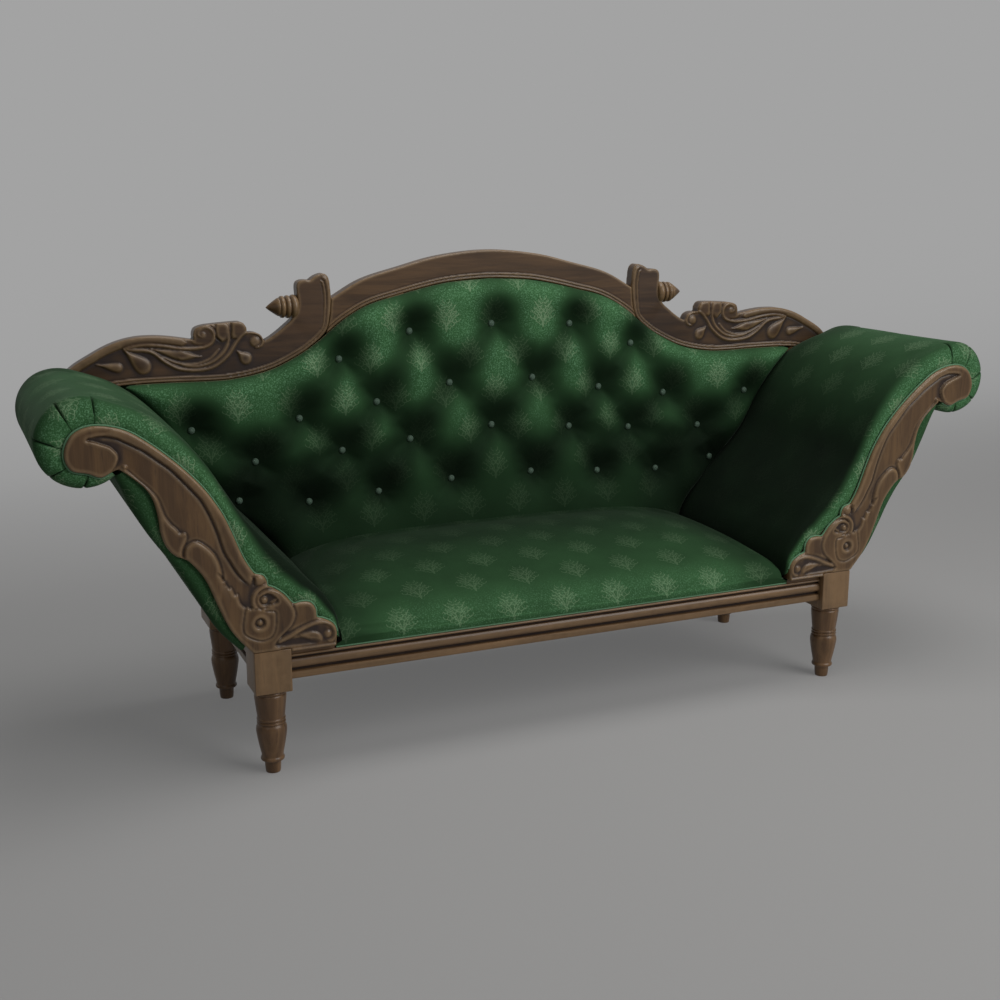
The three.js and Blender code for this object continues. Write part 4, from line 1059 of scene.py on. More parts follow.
def upper_relief(face):
    rim_line, edge_line = trace(rim_cut), trace(facade_edge)
    comma_line = trace(comma_edge)
    under_line = trace(facade_under)

    # The sunk field, deepest beside the comma.
    face.ground(ground_level)
    from_comma, _ = face.away(comma_line)
    face.height -= 2.2 * (1 - eased(from_comma, 0, 55))
    to_rim, _ = face.away(rim_line)
    face.height += 1.0 * eased(to_rim, 8, 40)

    # The rolled rim along the cloth, and the comma that it ends in.
    top = np.argmin(np.hypot(*(edge_line - (1094, 821)).T))
    to_edge, _ = face.away(edge_line)
    on_rim = face.inside(np.vstack([edge_line[:top], rim_line]))
    share = to_rim / (to_rim + to_edge + 0.01)
    swell = np.clip(1 - ((share - 0.62) / 0.62) ** 2, 0, 1) ** 0.7
    face.height = np.where(on_rim, ground_level + (3.4 - ground_level) * swell, face.height)
    face.level(np.vstack([comma_line, edge_line[top - 14:][::-1], rim_line[9::-1]]), 2.2, 6)
    face.groove(rim_line, 9, 3.4)
    face.groove(comma_line, 6, 2.2, 0.02)
    face.ridge(shifted(comma_line, 4.5)[1:-2], 7, 3.4, 0.12)

    # The leaf and the lobe that overlap along the lower edge.
    start_under = np.argmin(np.hypot(*(under_line - (931, 528)).T))
    leaf_line, tip_line = trace(leaf_cut), trace(leaf_tip)
    face.level(np.vstack([leaf_line, tip_line, under_line[:start_under][::-1]]), 2.0, 8)
    face.groove(leaf_line, 7, 2.6)
    face.groove(tip_line, 5, 2.4, 0.02)
    lobe_line = trace(lobe_cut)
    low = np.argmin(np.hypot(*(under_line - (844, 369)).T))
    lobe = np.vstack([lobe_line, [(836, 430)], under_line[start_under:low][::-1]])
    face.level(lobe, 3.6, 13)
    face.groove(lobe_line, 8, 2.6, 0.02)

    # The plain raised wood round the foot, blended into the lobe.
    plain = [*trace(field_tips, 2), (790, 401), (774, 397), *trace(eye_tail), *trace(scroll_cut)]
    plain += [(744, 312), (720, 290), (800, 290), *under_line[low:][::-1], (860, 430)]
    blend_low = eased(face.up, 400, 470)
    before = face.height.copy()
    face.level(np.array(plain, float), raised_level + 0.8, 7)
    mixed = before * blend_low + face.height * (1 - blend_low)
    face.height = np.where(face.inside(lobe), mixed, face.height)
    face.groove(trace(field_tips, 2), 6, 1.6, 0.02)
    face.groove(trace([(862, 490), (852, 478), (848, 466)]), 7, 4.5, 0.3)


print("the upper part has a sunk field, a rim, a leaf and a lobe")


# %% Arm front foot
def foot_relief(face):
    # The scroll and its pierced eye.
    face.groove(trace(scroll_cut), 7, 3.2, 0.03)
    face.ridge(shifted(trace(eye_tail + scroll_cut[1:5]), -6), 11, 3.6, 0.05, 0.8)
    eye = [(776, 418), (768, 428), (750, 430), (733, 414), (738, 405), (766, 404)]
    face.level(smooth_line(eye, 6, True), -4.2, 4)
    face.ball((764, 416), 8.2, 2.4)
    face.ridge(trace([(750, 408), (742, 411), (735, 417)]), 5, 0.6, 0.3)

    # The shield with its beads and its rosette.
    face.groove(np.vstack([smooth_line(shield, 4, True), shield[:1]]), 6, 3.4, 0.0)
    face.level(smooth_line(shield, 4, True), 2.4, 5)
    for bead in ((800, 401), (789, 398.5), (778, 396), (767, 392)):
        face.ball(bead, 3.6, 3.4)
    around = np.hypot(face.across - 775, face.up - 366)
    face.height += 1.4 * np.clip(1 - ((around - 17) / 6) ** 2, 0, 1)
    face.height -= 6.6 * np.clip(1 - (around / 12.5) ** 4, 0, 1)
    face.ball((775, 366), 7.2, 2.4)

    # The tab above the wing, and the wing over the rail.
    tab = [*scroll_tab, (696, 376), (704, 352), (718, 337), (700, 338), (670, 352), (648, 358)]
    face.level(np.array(tab, float), 0.2, 7)
    face.groove(trace([(744, 314), (722, 331), (700, 342), (672, 353)]), 5, 2.0, 0.1)
    face.ridge(trace(wing_band), 10, 3.0, 0.04, 0.75)
    face.level(smooth_line(wing_recess, 4, True), -3.8, 5)
    face.level(smooth_line(wing_leaf, 4, True), 1.8, 5)
    face.ball((625, 321), 8.5, 2.8)
    face.ridge(np.array([(604.0, 294.0), (712.0, 294.0)]), 7, 1.2, 0.0)

    # Small balls where lines meet, and the softened edge all round.
    for ball in ((772, 461, 11), (1037, 733, 4.5), (926, 580, 4.6), (849, 466, 3.4)):
        face.groove(np.array([(ball[0] - 1.0, ball[1]), (ball[0] + 1.0, ball[1])]), ball[2] * 3, 2, 0)
        face.ball(ball[:2], ball[2], 3.2)
    face.groove(trace([(790, 476), (783, 462), (785, 450)]), 6, 3.6, 0.1)
    face.round_over(facade_outline / MM, 3.4)
    np.clip(face.height, -8.0, 4.0, out=face.height)


def facade_relief(face):
    upper_relief(face)
    foot_relief(face)


relief_room = 4 * MM
facade_low, facade_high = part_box("arm_facade_right")
facade_face = facade_low[1] + relief_room
arm_front = carve("arm_front_right", facade_outline, facade_face, facade_high[1], facade_relief)
arm_front_left = mirror_piece(arm_front, "arm_front_left")
dress(arm_front, walnut_upright, "show_wood", "arm_facade_right")
dress(arm_front_left, walnut_upright, "show_wood", "arm_facade_left")
print("each arm front has", len(arm_front.data.polygons), "faces")

# %% [markdown]
# Shoulders and crest
#
# The top of the back is three boards. The middle one is a plain arch with a bead along its lower
# edge. The shoulders carry leaf drops and two stems that curl over into a volute, and each ends in
# a hook that holds a small turned finial.

# %% Shoulder and crest outlines
shoulder_under = [
    (430, 1007), (434, 965), (447, 921), (490, 884), (526, 863), (576, 840), (620, 827),
    (670, 818), (726, 814), (829, 816), (915, 816), (985, 811), (1040, 797), (1105, 775),
]
shoulder_top = [
    (1105, 825), (1072, 862), (1024, 891), (977, 914), (929, 927), (882, 930), (835, 926),
    (778, 916),
]
shoulder_scroll = [
    (778, 916), (780, 928), (774, 943), (755, 950), (722, 953), (683, 955), (660, 954),
    (649, 942), (647, 928),
]
shoulder_curl = [(647, 928), (630, 928), (614, 921), (605, 905)]
hook = [
    (605, 905), (590, 912), (569, 926), (551, 940), (532, 956), (519, 976), (515, 995),
    (517, 1015), (518, 1035), (514, 1047), (501, 1052), (483, 1051),
]
hook_tip = [
    (483, 1051), (470, 1060), (457, 1065), (446, 1066), (436, 1057), (432, 1037), (430, 1007),
]
shoulder_foot = [(1105, 775), (1105, 825)]
shoulder_runs = [
    shoulder_under, shoulder_foot, shoulder_top, shoulder_scroll, shoulder_curl, hook, hook_tip,
]
shoulder_outline = outline_of(shoulder_runs, 3 * MM)
crest_under = [(0, 1042), (110, 1036), (181, 1024), (250, 1008), (333, 986), (400, 951), (446, 916.5)]
crest_top = [(430.2, 1003.5), (348, 1048), (245, 1077), (135, 1103), (0, 1115)]
crest_joint = [(446, 916.5), (438.5, 941), (433.5, 965), (430.2, 1003.5)]
crest_left_under = [(-x, z) for x, z in crest_under[::-1]]
crest_left_top = [(-x, z) for x, z in crest_top[::-1]]
crest_runs = [
    crest_left_under + crest_under[1:], crest_joint,
    crest_top + crest_left_top[1:], [(-x, z) for x, z in crest_joint[::-1]],
]
crest_outline = outline_of(crest_runs, 3 * MM)
print("the outlines have", len(shoulder_outline), "and", len(crest_outline), "points")

# %% Shoulder relief
outer_stem = [
    (943, 900), (885, 893), (850, 866), (815, 847), (767, 842), (730, 850), (697, 875),
    (675, 906), (657, 925), (640, 929), (620, 923), (609, 908), (614, 894), (628, 890),
]
inner_stem = [(815, 858), (790, 853), (767, 852), (735, 861), (706, 885), (694, 914), (696, 941)]
volute_stem = [
    (948, 902), (905, 909), (860, 906), (815, 897), (778, 895), (752, 898), (736, 906),
    (729, 920), (733, 936), (747, 945), (762, 941), (768, 929), (760, 921),
]
scroll_leaves = [
    ([(784, 908), (784, 944), (756, 958), (728, 950), (724, 922), (744, 902)], 0.6, 7),
    ([(724, 952), (704, 958), (690, 944), (694, 918), (712, 908), (727, 926)], 2.6, 11),
    ([(686, 958), (660, 960), (644, 944), (650, 930), (668, 914), (688, 920)], 2.8, 12),
]
leaf_drops = [
    ((653, 864), 15, (675, 884), 2.8), ((962, 858), 11, (1012, 868), 2.6),
    ((903, 858), 19, (948, 902), 3.0), ((810, 880), 12, (763, 874), 2.8),
    ((812, 880), 12, (884, 899), 2.8),
]


def shoulder_relief(face):
    top_line = trace(shoulder_top + shoulder_scroll[1:])
    face.ground(-1.8)
    face.height += 0.9 * (1 - eased(np.hypot(face.across - 500, face.up - 930), 40, 150))
    face.ridge(shifted(top_line[:115], 9), 20, 2.6, 0.03)
    face.groove(shifted(top_line[:100], 20), 5, 1.6, 0.05)
    # The curled leaves of the scroll, parted by grooves, and the volute.
    for leaf, height, soft in scroll_leaves:
        face.level(smooth_line(leaf, 4, True), height, soft)
    face.groove(trace([(724, 952), (727, 926), (712, 908)]), 6, 2.6, 0.05)
    face.groove(trace([(686, 956), (688, 926), (697, 900)]), 6, 2.6, 0.05)
    face.groove(trace([(742, 897), (727, 915), (726, 938), (742, 952)]), 5, 2.4, 0.05)
    face.ridge(trace(volute_stem), 9, 2.6, 0.04, 0.8)
    face.ball((757, 927), 8, 2.4)
    # The stems and the leaf drops beside them.
    face.ridge(trace(inner_stem), 8, 1.8, 0.08)
    face.ridge(trace(outer_stem), 9, 2.6, 0.05, 0.85)
    face.ridge(trace([(860, 880), (822, 862), (780, 857), (742, 868), (716, 893)]), 6, 1.2, 0.2)
    face.ball((628, 905), 13.5, 2.8)
    for body, radius, tail, top in leaf_drops:
        face.drop(body, radius, tail, top)
    # The beads along the lower edge, which widen into the hook.
    bead_line = trace([(449, 1063), (438, 1055), (432.5, 1036), *shoulder_under])
    band_width = (17 - 6 * eased(np.arange(len(bead_line)), 20, 60))[:, None]
    in_hook = 1 - eased(np.hypot((face.across - 470) / 60, (face.up - 1000) / 75), 0.8, 1.3)
    face.height += 1.6 * in_hook
    face.groove(shifted(bead_line, band_width + 3.6), 4, 1.2, 0.01)
    face.ridge(shifted(bead_line, band_width), 5.5, 2.6, 0.01)
    face.groove(shifted(bead_line, band_width - 4), 4, 2.4, 0.01)
    face.ridge(shifted(bead_line, band_width / 2 - 2), 9, 1.8, 0.01)
    face.round_over(shoulder_outline / MM, 3)
    np.clip(face.height, -6.0, 4.0, out=face.height)


shoulder_low, shoulder_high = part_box("shoulder_rail_right")
shoulder_face = shoulder_low[1] + relief_room
shoulder = carve(
    "shoulder_right", shoulder_outline, shoulder_face, shoulder_high[1], shoulder_relief
)
shoulder_left = mirror_piece(shoulder, "shoulder_left")
dress(shoulder, walnut_shoulder, "show_wood", "shoulder_rail_right")
dress(shoulder_left, walnut_shoulder, "show_wood", "shoulder_rail_left")
print("each shoulder has", len(shoulder.data.polygons), "faces")


# %% Crest
def crest_relief(face):
    under_line = trace(crest_runs[0])
    face.ground(-0.6)
    face.groove(shifted(under_line, 14.6), 4, 1.2, 0.0)
    face.ridge(shifted(under_line, 11), 5.5, 1.8, 0.0)
    face.groove(shifted(under_line, 7), 4, 2.6, 0.0)
    face.ridge(shifted(under_line, 3.2), 8, 1.0, 0.0)
    face.round_over(crest_outline / MM, 3.4)


crest_low, crest_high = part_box("crest_rail")
crest_face = crest_low[1] + relief_room / 2
crest_cell = 1.9 * MM
crest = carve("crest", crest_outline, crest_face, crest_high[1], crest_relief, crest_cell)
dress(crest, walnut_long, "show_wood", "crest_rail")
print("the crest has", len(crest.data.polygons), "faces")

# %% [markdown]
# Finials
#
# A small turned finial lies in each hook, pointing away from the middle: three rings and a
# cone. It is one profile spun round the X axis.

# %% Turned finials
finial_low, finial_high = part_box("finial_right")
finial_reach = (finial_high[0] - finial_low[0]) / MM
finial_radius = (finial_high[2] - finial_low[2]) / 2 / MM
finial_shape = [
    (0, 0), (0.8, 0), (0.86, 0.02), (0.97, 0.06), (1, 0.12), (0.97, 0.18), (0.84, 0.215),
    (0.78, 0.23), (0.8, 0.245), (0.93, 0.265), (0.96, 0.31), (0.92, 0.36), (0.8, 0.385),
    (0.76, 0.4), (0.79, 0.415), (0.89, 0.435), (0.92, 0.48), (0.89, 0.53), (0.78, 0.56),
    (0.74, 0.575), (0.76, 0.59), (0.75, 0.62),
]
for share in np.linspace(0.1, 1, 10):
    finial_shape.append((0.75 * (1 - share) ** 0.86, 0.62 + 0.38 * share))
finial_profile = [
    (radius * finial_radius * MM, along * finial_reach * MM) for radius, along in finial_shape
]
finial_centre = (
    finial_low[0], (finial_low[1] + finial_high[1]) / 2, (finial_low[2] + finial_high[2]) / 2
)
finial = turned("finial_turning_right", finial_profile, finial_centre, "X", 48)
age_wood(finial, 6, 1.0, 0.4)
smooth_shading(finial, 50)
finial_left = mirror_piece(finial, "finial_turning_left")
dress(finial, walnut_deep, "show_wood", "finial_right")
dress(finial_left, walnut_deep, "show_wood", "finial_left")
print("a finial is", round(finial_reach), "mm long")

# %% [markdown]
# Cloth over stuffing
#
# Velvet over horsehair is a skin held at its edges and pushed out from inside. Each stuffed piece
# is first shaped by its own measures, and then Blender's cloth swells it for a few frames while the
# tacked parts stay held. The swelling is capped, so the piece keeps the size that the frame gives.
# The place of each vertex on the flat cloth is stored in metres, and the damask reads that.

# %% Cloth helpers
def lay_cloth(piece, across, up):
    """Stores where each vertex lies on the flat cloth, in metres."""
    layer = piece.data.uv_layers.get("cloth") or piece.data.uv_layers.new(name="cloth")
    corners = np.empty(len(piece.data.loops), int)
    piece.data.loops.foreach_get("vertex_index", corners)
    layer.data.foreach_set("uv", np.column_stack([across, up])[corners].ravel())


def paint_light(piece, share):
    """Stores painted light at each vertex, from 0 for painted shade to 1 for painted light."""
    stored = piece.data.attributes.new("light_painted", "FLOAT", "POINT")
    stored.data.foreach_set("value", np.broadcast_to(share, len(piece.data.vertices)).astype(float))


def swell(piece, held, pressure, cap, frames=16):
    """Swells a piece under its cover, except where it is held, by no more than the cap."""
    before = points_of(piece)
    select_only(piece)
    tacked = piece.vertex_groups.new(name="tacked")
    tacked.add([int(k) for k in np.flatnonzero(held)], 1.0, "REPLACE")
    cover = piece.modifiers.new("Cover", "CLOTH")
    cover.settings.use_pressure = True
    cover.settings.uniform_pressure_force = pressure
    cover.settings.effector_weights.gravity = 0
    cover.settings.vertex_group_mass = tacked.name
    cover.settings.quality = 4
    cover.collision_settings.use_collision = False
    for step in range(1, frames + 1):
        scene.frame_set(step)
    bpy.ops.object.modifier_apply(modifier=cover.name)
    scene.frame_set(1)
    moved = points_of(piece) - before
    length = np.linalg.norm(moved, axis=1)
    kept = cap * np.tanh(length / cap)
    move_points(piece, before + moved * (kept / np.maximum(length, 1e-9))[:, None])
    piece.vertex_groups.clear()
    return float(kept.max())


def walk(line):
    """How far along a line each of its points lies."""
    return np.concatenate([[0], np.cumsum(np.linalg.norm(np.diff(line, axis=0), axis=1))])


print("cloth can be laid, rubbed and swelled")

# %% [markdown]
# The buttoned back
#
# Twenty-eight buttons are pulled through the stuffing in four staggered rows. The cover dips to
# each button and sinks along the lines that join a button to its neighbours in the next row, and
# it rolls down to the wood and the arms at its border.

# %% Back border and buttons
arm_rise = [
    (590, 299), (592, 330), (597, 359), (621, 402), (654, 437), (686, 473), (719, 508),
    (761, 555), (797, 600), (830, 655), (862, 710), (900, 760), (945, 804), (1000, 841),
]
wood_line = [
    (952, 814), (915, 815.5), (829, 815.5), (726, 813.5), (670, 817.5), (620, 826), (576, 839),
    (526, 862), (490, 883), (460, 904), (400, 950), (333, 985), (250, 1007), (181, 1023),
    (110, 1035), (0, 1041.5),
]
button_rows = [
    [(0, 925), (230, 915), (420, 853)],
    [(120, 775), (322, 737), (528, 708), (800, 697)],
    [(0, 654), (232, 633), (418, 617), (645, 606)],
    [(117, 516), (322, 500), (510, 490), (690, 509)],
]
buttons = []
for row in button_rows:
    left = [(-x, z) for x, z in row[::-1] if x > 0]
    buttons.append(np.array(left + row, float))
valley_reach = 290
valleys = []
for upper_row, lower_row in zip(buttons[:-1], buttons[1:]):
    for upper in upper_row:
        for lower in lower_row:
            if abs(upper[0] - lower[0]) < valley_reach:
                valleys.append(np.array([upper, lower]))
border_line = smooth_line(arm_rise[:-2] + [(934, 795)], 4)
border_line = np.vstack([border_line, smooth_line(wood_line, 4)])
border_left = border_line[::-1] * (-1, 1)
back_border = np.vstack([border_line, border_left[1:]])
print("the back has", sum(map(len, buttons)), "buttons and", len(valleys), "valleys between them")

# %% Back shape
pad_rear, pad_thickness, pad_edge, pad_roll = 255.7, 46, 12, 62
valley_dip, valley_width = 7, 40
hollow_dip, hollow_width = 26, 56
dimple_dip, dimple_width = 7, 16
dip_clear = 20


def bell(distance, width):
    return np.exp(-(distance / width) ** 2)


def back_depth(x, z):
    """Thickness of the buttoned back at a place, and how far border, button and valley are."""
    to_border, _ = near(x, z, np.vstack([back_border, back_border[:1]]))
    roll = np.clip(to_border / pad_roll, 0, 1)
    roll = np.sqrt(1 - (1 - roll) ** 2)
    to_valley = np.full(x.shape, 1e6)
    for valley in valleys:
        to_valley = np.minimum(to_valley, near(x, z, valley)[0])
    to_button = np.full(x.shape, 1e6)
    for button in np.vstack(buttons):
        to_button = np.minimum(to_button, np.hypot(x - button[0], z - button[1]))
    dip = valley_dip * bell(to_valley, valley_width)
    hollow = hollow_dip * bell(to_button, hollow_width) + dimple_dip * bell(to_button, dimple_width)
    puffed = pad_thickness - dip * (1 - bell(to_button, dip_clear)) - hollow
    return pad_edge + (puffed - pad_edge) * roll, to_border, to_button, to_valley


back_pad = board("back_puffs", back_border * MM, (pad_rear - pad_thickness) * MM, pad_rear * MM)
modify(back_pad, "REMESH", mode="VOXEL", voxel_size=6 * MM)
co = points_of(back_pad)
x, z = co[:, 0] / MM, co[:, 2] / MM
depth, to_border, to_button, _ = back_depth(x, z)
forward = np.clip((pad_rear - co[:, 1] / MM) / pad_thickness, 0, 1)
co[:, 1] = (pad_rear - forward * depth) * MM
move_points(back_pad, co)
tacked = (forward < 0.9) | (to_border < 7) | (to_button < 10) | (z < 330)
most = swell(back_pad, tacked, 3.5, 7 * MM)
print("the back swelled by", round(most / MM, 1), "mm at most")

# %% Back finish and buttons
co = points_of(back_pad)
lay_cloth(back_pad, co[:, 0], co[:, 2])
# Painted shade: the cover is painted dark above and to the right of each button, and along the valleys,
# with painted light on the crowns between.
_, _, from_hollow, _ = back_depth(x - 16, z - 36)
_, _, _, from_valley = back_depth(x - 14, z - 16)
crown_light = eased(from_hollow, 0, 108) * (0.3 + 0.7 * eased(from_valley, 2, 66))
# Painted shade in the low corners beside the arms, and less painted light towards the bottom.
corner = eased(np.abs(x), 380, 640) * (1 - eased(z, 470, 760))
height_light = (0.16 + 0.78 * eased(z, 420, 940)) * (1 - 0.8 * corner)
paint_light(back_pad, (0.1 + 0.95 * crown_light) * height_light * eased(to_border, -30, 30))
select_only(back_pad)
bpy.ops.object.shade_smooth()
dress(back_pad, damask_velvet, "damask", "back_cushion")
button_radius, button_height, button_sunk = 8.8, 8.8 * 0.62, 2.5
heads = []
for x, z in np.vstack(buttons):
    depth, _, _, _ = back_depth(np.array([x]), np.array([z]))
    deselect()
    place = (x * MM, (pad_rear - depth[0] - button_sunk) * MM, z * MM)
    bpy.ops.mesh.primitive_uv_sphere_add(segments=20, ring_count=12, radius=1, location=place)
    head = start("back_button")
    head.scale = (button_radius * MM, button_height * MM, button_radius * MM)
    bpy.ops.object.transform_apply(location=True, rotation=False, scale=True)
    bpy.ops.object.shade_smooth()
    heads.append(head)
back_buttons = join_pieces(heads, "back_buttons")
dress(back_buttons, button_cloth, "piping")
print("each of the", len(heads), "buttons is", 2 * button_radius, "mm wide")

# %% [markdown]
# The seat
#
# The seat is sprung, so it is crowned in the middle and falls softly to the arms and to the front
# rail. A skin over sections across the seat gives that shape: each section rises from the rebate
# in the rail, rolls over the front edge, runs back and comes down behind. Its front corners spread
# a little at the foot, behind the carved fronts.

# %% Seat
seat_half, seat_front, seat_rear = 588.0, -286.0, 209.4
rail_top, seat_base = 290.0, 291.8
cover_low, cover_back = 284.6, -280.0
seat_crown, seat_end_crown = 118, 58
corner_from, corner_spread = 540, 0.026
pattern_shift = (-0.041, 0.008)
end_round, end_share = 5, 0.015
seat_middle_rise = smooth_line([
    (0, 0.09), (0.012, 0.2), (0.035, 0.32), (0.1, 0.48), (0.2, 0.64), (0.4, 0.83), (0.6, 0.95),
    (0.8, 1), (1, 0.97),
])
seat_end_rise = smooth_line([
    (0, 0.18), (0.012, 0.38), (0.04, 0.56), (0.15, 0.8), (0.4, 0.95), (0.7, 1), (1, 0.97),
])


def seat_height(x, back):
    """Height of the seat over the floor, in mm, at a share of its depth."""
    side = abs(x) / seat_half
    middle_rise = np.interp(back, *seat_middle_rise.T) * seat_crown
    end_rise = np.interp(back, *seat_end_rise.T) * seat_end_crown
    bulge = 0.75 * (1 - side ** 6) + 0.25 * (1 - side ** 2)
    return rail_top + end_rise + (middle_rise - end_rise) * bulge


sections = []
steps = np.linspace(0, 1, 90) ** 1.7
underside = np.linspace(0, 1, 14)[1:]
for x in np.linspace(-seat_half, seat_half, 160):
    beside_arm = min(1, max(0, abs(x) / seat_half - (1 - end_share)) / end_share)
    end_ease = end_round * (1 - math.sqrt(1 - beside_arm ** 2))
    top = [(x, seat_front + s * (seat_rear - seat_front), seat_height(x, s) - end_ease) for s in steps]
    low_x = x * (1 + corner_spread * eased(abs(x), corner_from, seat_half))
    rise = [(low_x, seat_front, cover_low + (top[0][2] - cover_low) * s) for s in (0, 0.35, 0.7)]
    down = [(x, seat_rear, top[-1][2] + (seat_base - top[-1][2]) * s) for s in np.linspace(0.1, 1, 10)]
    below = [(x, seat_rear + (cover_back - seat_rear) * s, seat_base) for s in underside]
    sections.append(rise + top + down + below + [(low_x, cover_back, cover_low)])
sections = np.array(sections) * MM
seat, level, turn = loft("seat_cover", sections)
ring_walk = np.array([walk(ring) for ring in sections])
co = points_of(seat)
x, y, z = co.T / MM
tacked = (z < seat_base + 6) | (y > seat_rear - 6) | (np.abs(x) > seat_half - 25)
most = swell(seat, tacked, 2.5, 6 * MM)
co = points_of(seat)
lay_cloth(seat, co[:, 0] + pattern_shift[0], ring_walk[level, turn] + pattern_shift[1])
behind_edge = co[:, 1] / MM - seat_front
# Painted shade on the seat beside the arms, and painted light towards its front edge.
beside_arm = 0.45 + 0.55 * eased(seat_half - np.abs(co[:, 0]) / MM, 20, 170)
front_light = 0.28 * (1 - eased(behind_edge, 40, 450)) + 0.22 * (1 - eased(behind_edge, 0, 110))
paint_light(seat, (0.1 + front_light) * beside_arm)
smooth_shading(seat, 60)
dress(seat, damask_velvet, "damask", "seat_cushion")
print("the seat swelled by", round(most / MM, 1), "mm and crowns at", round(co[:, 2].max() / MM), "mm")

# %% [markdown]
# The arms
#
# A band of stuffing starts at the seat, runs up the inside of the arm, over the roll and back under
# it. Its section is the same all along: a lip rolls forward to meet the carved front, the cover
# runs back to the rear, and the inside lies on the frame. So the band is a skin over sections that
# stand square to the arm's line. Short creases gather the cover round the front of the roll, and
# the roll's rear end is rounded off.

# %% Arm lines
roll_centre, roll_radius = (1113, 784), 94
roll_start, roll_end = 110, -130
crease_angles = (106, 60, 8, -44, -88)
near_creases = np.add.outer(crease_angles, np.linspace(-2.4, 2.4, 13)).ravel()
roll_degrees = np.concatenate([np.linspace(roll_start, roll_end, 190), near_creases])
roll_angles = np.radians(np.unique(np.clip(roll_degrees, roll_end, roll_start).round(3))[::-1])
roll_arc = np.column_stack([np.cos(roll_angles), np.sin(roll_angles)]) * roll_radius + roll_centre
rise_line = even_line(smooth_line(arm_rise + [tuple(roll_arc[0])]), 6)[:-1]
arm_line = np.vstack([rise_line, roll_arc])
wood_path = [*wing_end[1:], *scroll_tab[1:], *scroll_top[1:], *scroll_ball[1:], *facade_edge[1:]]
wood_path = even_line(np.array(wood_path, float), 3)
cloth_front, lip_depth, cloth_rear = -291.5, 28, 253.2
hem_depths = (7, 2.5)
rear_round = 80
print("the arm's line runs through", len(arm_line), "points")


# %% Stuffed band
def outward(line):
    """Unit normals on the left of a line."""
    along = np.gradient(line, axis=0)
    along /= np.hypot(*along.T)[:, None]
    return np.column_stack([-along[:, 1], along[:, 0]])


def tuck_under(line, wood, under):
    """For each point of a line, where its cover tucks in behind the edge of the wood."""
    hidden = shifted(smooth_line(wood[::8]), -under)
    picks = []
    pick = 0
    for point in line:
        reach = hidden[pick:pick + 60]
        pick += int(np.argmin(np.hypot(*(reach - point).T)))
        picks.append(pick)
    picks = np.array(picks, float)
    ease = np.convolve(np.pad(picks, 6, mode="edge"), np.ones(13) / 13, "valid")
    rows = np.arange(len(hidden))
    return np.column_stack([np.interp(ease, rows, hidden[:, k]) for k in (0, 1)])


def band(name, line, tucked, thickness, rear_inset, creases, drops):
    """A stuffed band whose sections stand square to a line; creases gives each one's pinch."""
    inside = line - outward(line) * thickness[:, None]
    lip = np.radians(np.linspace(90, 0, 16))[1:]
    runs = np.linspace(cloth_front + lip_depth, cloth_rear - rear_inset, 56)
    sections = []
    paired = zip(line, tucked, inside, outward(line), creases, drops)
    for point, tuck, inner, normal, crease, drop in paired:
        hem = tuck + (point - tuck) * 0.12
        section = [(*tuck, cloth_front + hem_depths[0]), (*hem, cloth_front + hem_depths[1])]
        for angle in lip:
            share = 1 - 0.72 * (1 - math.cos(angle))
            slit = crease * eased(share, 0.35, 0.6)
            place = tuck + (point - tuck) * share - normal * slit * math.cos(angle) * 0.8
            depth = lip_depth * (1 - math.sin(angle)) + slit * (0.3 + 0.7 * math.sin(angle))
            section.append((*place, cloth_front + depth))
        for depth in runs[1:]:
            pinch = crease * 0.8 * max(0, 1 - (depth - runs[0]) / 16) ** 2
            late = np.clip((depth - runs[-1]) / rear_round + 1, 0, 1)
            pinch += drop * (1 - math.sqrt(1 - late ** 2))
            section.append((*(point - normal * pinch), depth))
        for inset, depth in ((0.35, 0.55), (0.7, 0.85), (1, 1)):
            place = point - normal * (drop + rear_inset * inset * 0.8)
            section.append((*place, cloth_rear - rear_inset * (1 - depth)))
        edge = point - normal * drop
        for share in (0.3, 0.65, 1):
            section.append((*(edge + (inner - edge) * share), cloth_rear))
        for depth in np.linspace(cloth_rear, cloth_front + lip_depth - 1, 8)[1:]:
            section.append((*inner, depth))
        for share in (0.4, 0.75):
            back = cloth_front + lip_depth - 1 - 6 * share
            section.append((*(inner + (tuck - inner) * share), back))
        sections.append(section)
    sections = np.array(sections)[:, :, (0, 2, 1)] * MM
    piece, level, turn = loft(name, sections)
    lengths = np.array([walk(section) for section in sections])
    return piece, lengths[level, turn], walk(line * MM)[level], level, turn


print("a band of cloth can follow a line")

# %% Arm covers
tucked_line = tuck_under(arm_line, wood_path, 5)
first_roll = len(rise_line)
crease_depth, crease_width = 8, 1.1
crease = np.zeros(len(arm_line))
for angle in crease_angles:
    off = np.abs(np.degrees(roll_angles) - angle) / crease_width
    crease[first_roll:] = np.maximum(crease[first_roll:], crease_depth * np.exp(-off ** 1.5))
arm_walk = walk(arm_line)
thickness = 14 + 44 * eased(arm_walk, 60, 260)
rear_drop = 27
drops = rear_drop * eased(arm_walk, 590, 770)
arm, across, up, level, turn = band(
    "arm_cover_right", arm_line, tucked_line, thickness, 9, crease, drops
)
body = (turn > 17) & (turn < 72)
height = points_of(arm)[:, 2] / MM
tacked = ~body | (height < 425) | (level > len(arm_line) - 8)
most = swell(arm, tacked, 2.0, 5 * MM)
lay_cloth(arm, across, up)
arm_depth = points_of(arm)[:, 1] / MM
